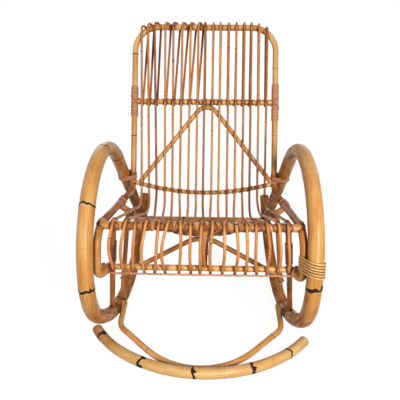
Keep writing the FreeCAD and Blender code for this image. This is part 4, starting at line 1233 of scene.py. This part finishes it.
# one long strand laced along the front rail, a turn to each rod
front_middle = FRONT_RAIL.at(FRONT_RAIL.length / 2)
rightward = vec(1, 0, 0)
wind(front_ties, [(front_middle, rightward, FRONT_RAIL_RADIUS)], front_middle, rightward, turns=ROD_COUNT - 1,
     pitch=ROD_SEAT_PITCH, width=2.8, tone=0.6)
for _, sign in SIDES:
    end_spot = back_point(sign * UPRIGHT_X, MID_RAIL_ALONG)
    wrapped = (end_spot, HOOP.heading(1.0), FRAME_RADIUS + UPRIGHT_WRAP["thickness"])
    cross_tie(mid_ties, wrapped, MID_RAIL.near(end_spot - (sign * MID_TIE_INSET, 0, 0)), width=3.0, tone=0.5)
for ties in (front_ties, rear_ties, mid_ties, low_ties):
    ties.finish()


# Floor, light and camera

WHITE = (1, 1, 1, 1)


def seen(shader):
    """One for what the camera sees, straight or mirrored, and nought where light is gathered."""
    rays = shader.node("ShaderNodeLightPath").outputs
    mirrored = shader.math("MAXIMUM", rays["Is Glossy Ray"], rays["Is Transmission Ray"])
    return shader.math("MAXIMUM", rays["Is Camera Ray"], mirrored)


def make_floor():
    """A floor that shows white, with a faint shadow, and lights the chair from below as a grey one would."""
    shader = Shader(bpy.data.materials.new("white_floor"))
    place = shader.coordinates()
    greys = [(stop, (grey, grey, grey, 1)) for stop, grey in enumerate(FLOOR_GREYS)]
    shader.paint("Base Color", shader.ramp(shader.noise(place, scale=1.5), greys))
    shader.paint("Roughness", 0.9)
    shader.paint("Specular IOR Level", 0.0)
    shader.paint("Emission Color", WHITE)
    away = shader.node("ShaderNodeVectorMath", {"operation": "LENGTH"}, Vector=place).outputs["Value"]
    glow = shader.smooth(away, *NEAR_AND_FAR, NEAR_GLOW, FAR_GLOW)
    shader.paint("Emission Strength", shader.math("MULTIPLY", seen(shader), glow))
    mesh = bpy.data.meshes.new("floor")
    corners = [(x * FLOOR_HALF, y * FLOOR_HALF, 0) for x, y in ((-1, -1), (1, -1), (1, 1), (-1, 1))]
    mesh.from_pydata(corners, [], [(0, 1, 2, 3)])
    mesh.materials.append(shader.owner)
    placed("floor", mesh)


def make_world():
    """A dim room with some light from above, which shows white."""
    shader = Shader(bpy.data.worlds.new("studio"), "Background")
    split = shader.node("ShaderNodeSeparateXYZ", None, Vector=shader.coordinates("Generated"))
    above = shader.smooth(split.outputs["Z"], 0.1, 0.9, SIDE_LIGHT, TOP_LIGHT)
    shader.paint("Strength", shader.math("MULTIPLY_ADD", seen(shader), ROOM_GLOW, above))
    shader.paint("Color", WHITE)
    bpy.context.scene.world = shader.owner


def area_light(name, place, target, size, power):
    data = bpy.data.lights.new(name, "AREA")
    data.shape = "RECTANGLE"
    data.size, data.size_y = size
    data.energy = power
    light = placed(name, data)
    light.location = place
    light.rotation_euler = (Vector(target) - Vector(place)).to_track_quat("-Z", "Y").to_euler()


def make_camera():
    """The camera that the photograph was taken with, as a perspective fit of the chair gives it."""
    flat = cos(CAMERA_PITCH)
    forward = vec(sin(CAMERA_YAW) * flat, cos(CAMERA_YAW) * flat, -sin(CAMERA_PITCH))
    level = vec(cos(CAMERA_YAW), -sin(CAMERA_YAW), 0)
    down = np.cross(forward, level)
    right = level * cos(CAMERA_ROLL) + down * sin(CAMERA_ROLL)
    down = down * cos(CAMERA_ROLL) - level * sin(CAMERA_ROLL)
    data = bpy.data.cameras.new("camera")
    data.sensor_fit = "HORIZONTAL"
    data.lens = data.sensor_width * CAMERA_FOCAL / FRAME_PIXELS
    camera = placed("camera", data)
    axes = Matrix((right, -down, -forward)).transposed().to_4x4()
    camera.matrix_world = Matrix.Translation(CAMERA_PLACE) @ axes
    bpy.context.scene.camera = camera


make_floor()
make_world()
for lamp in LAMPS:
    area_light(*lamp)
make_camera()
bpy.context.scene.view_settings.view_transform = "Standard"
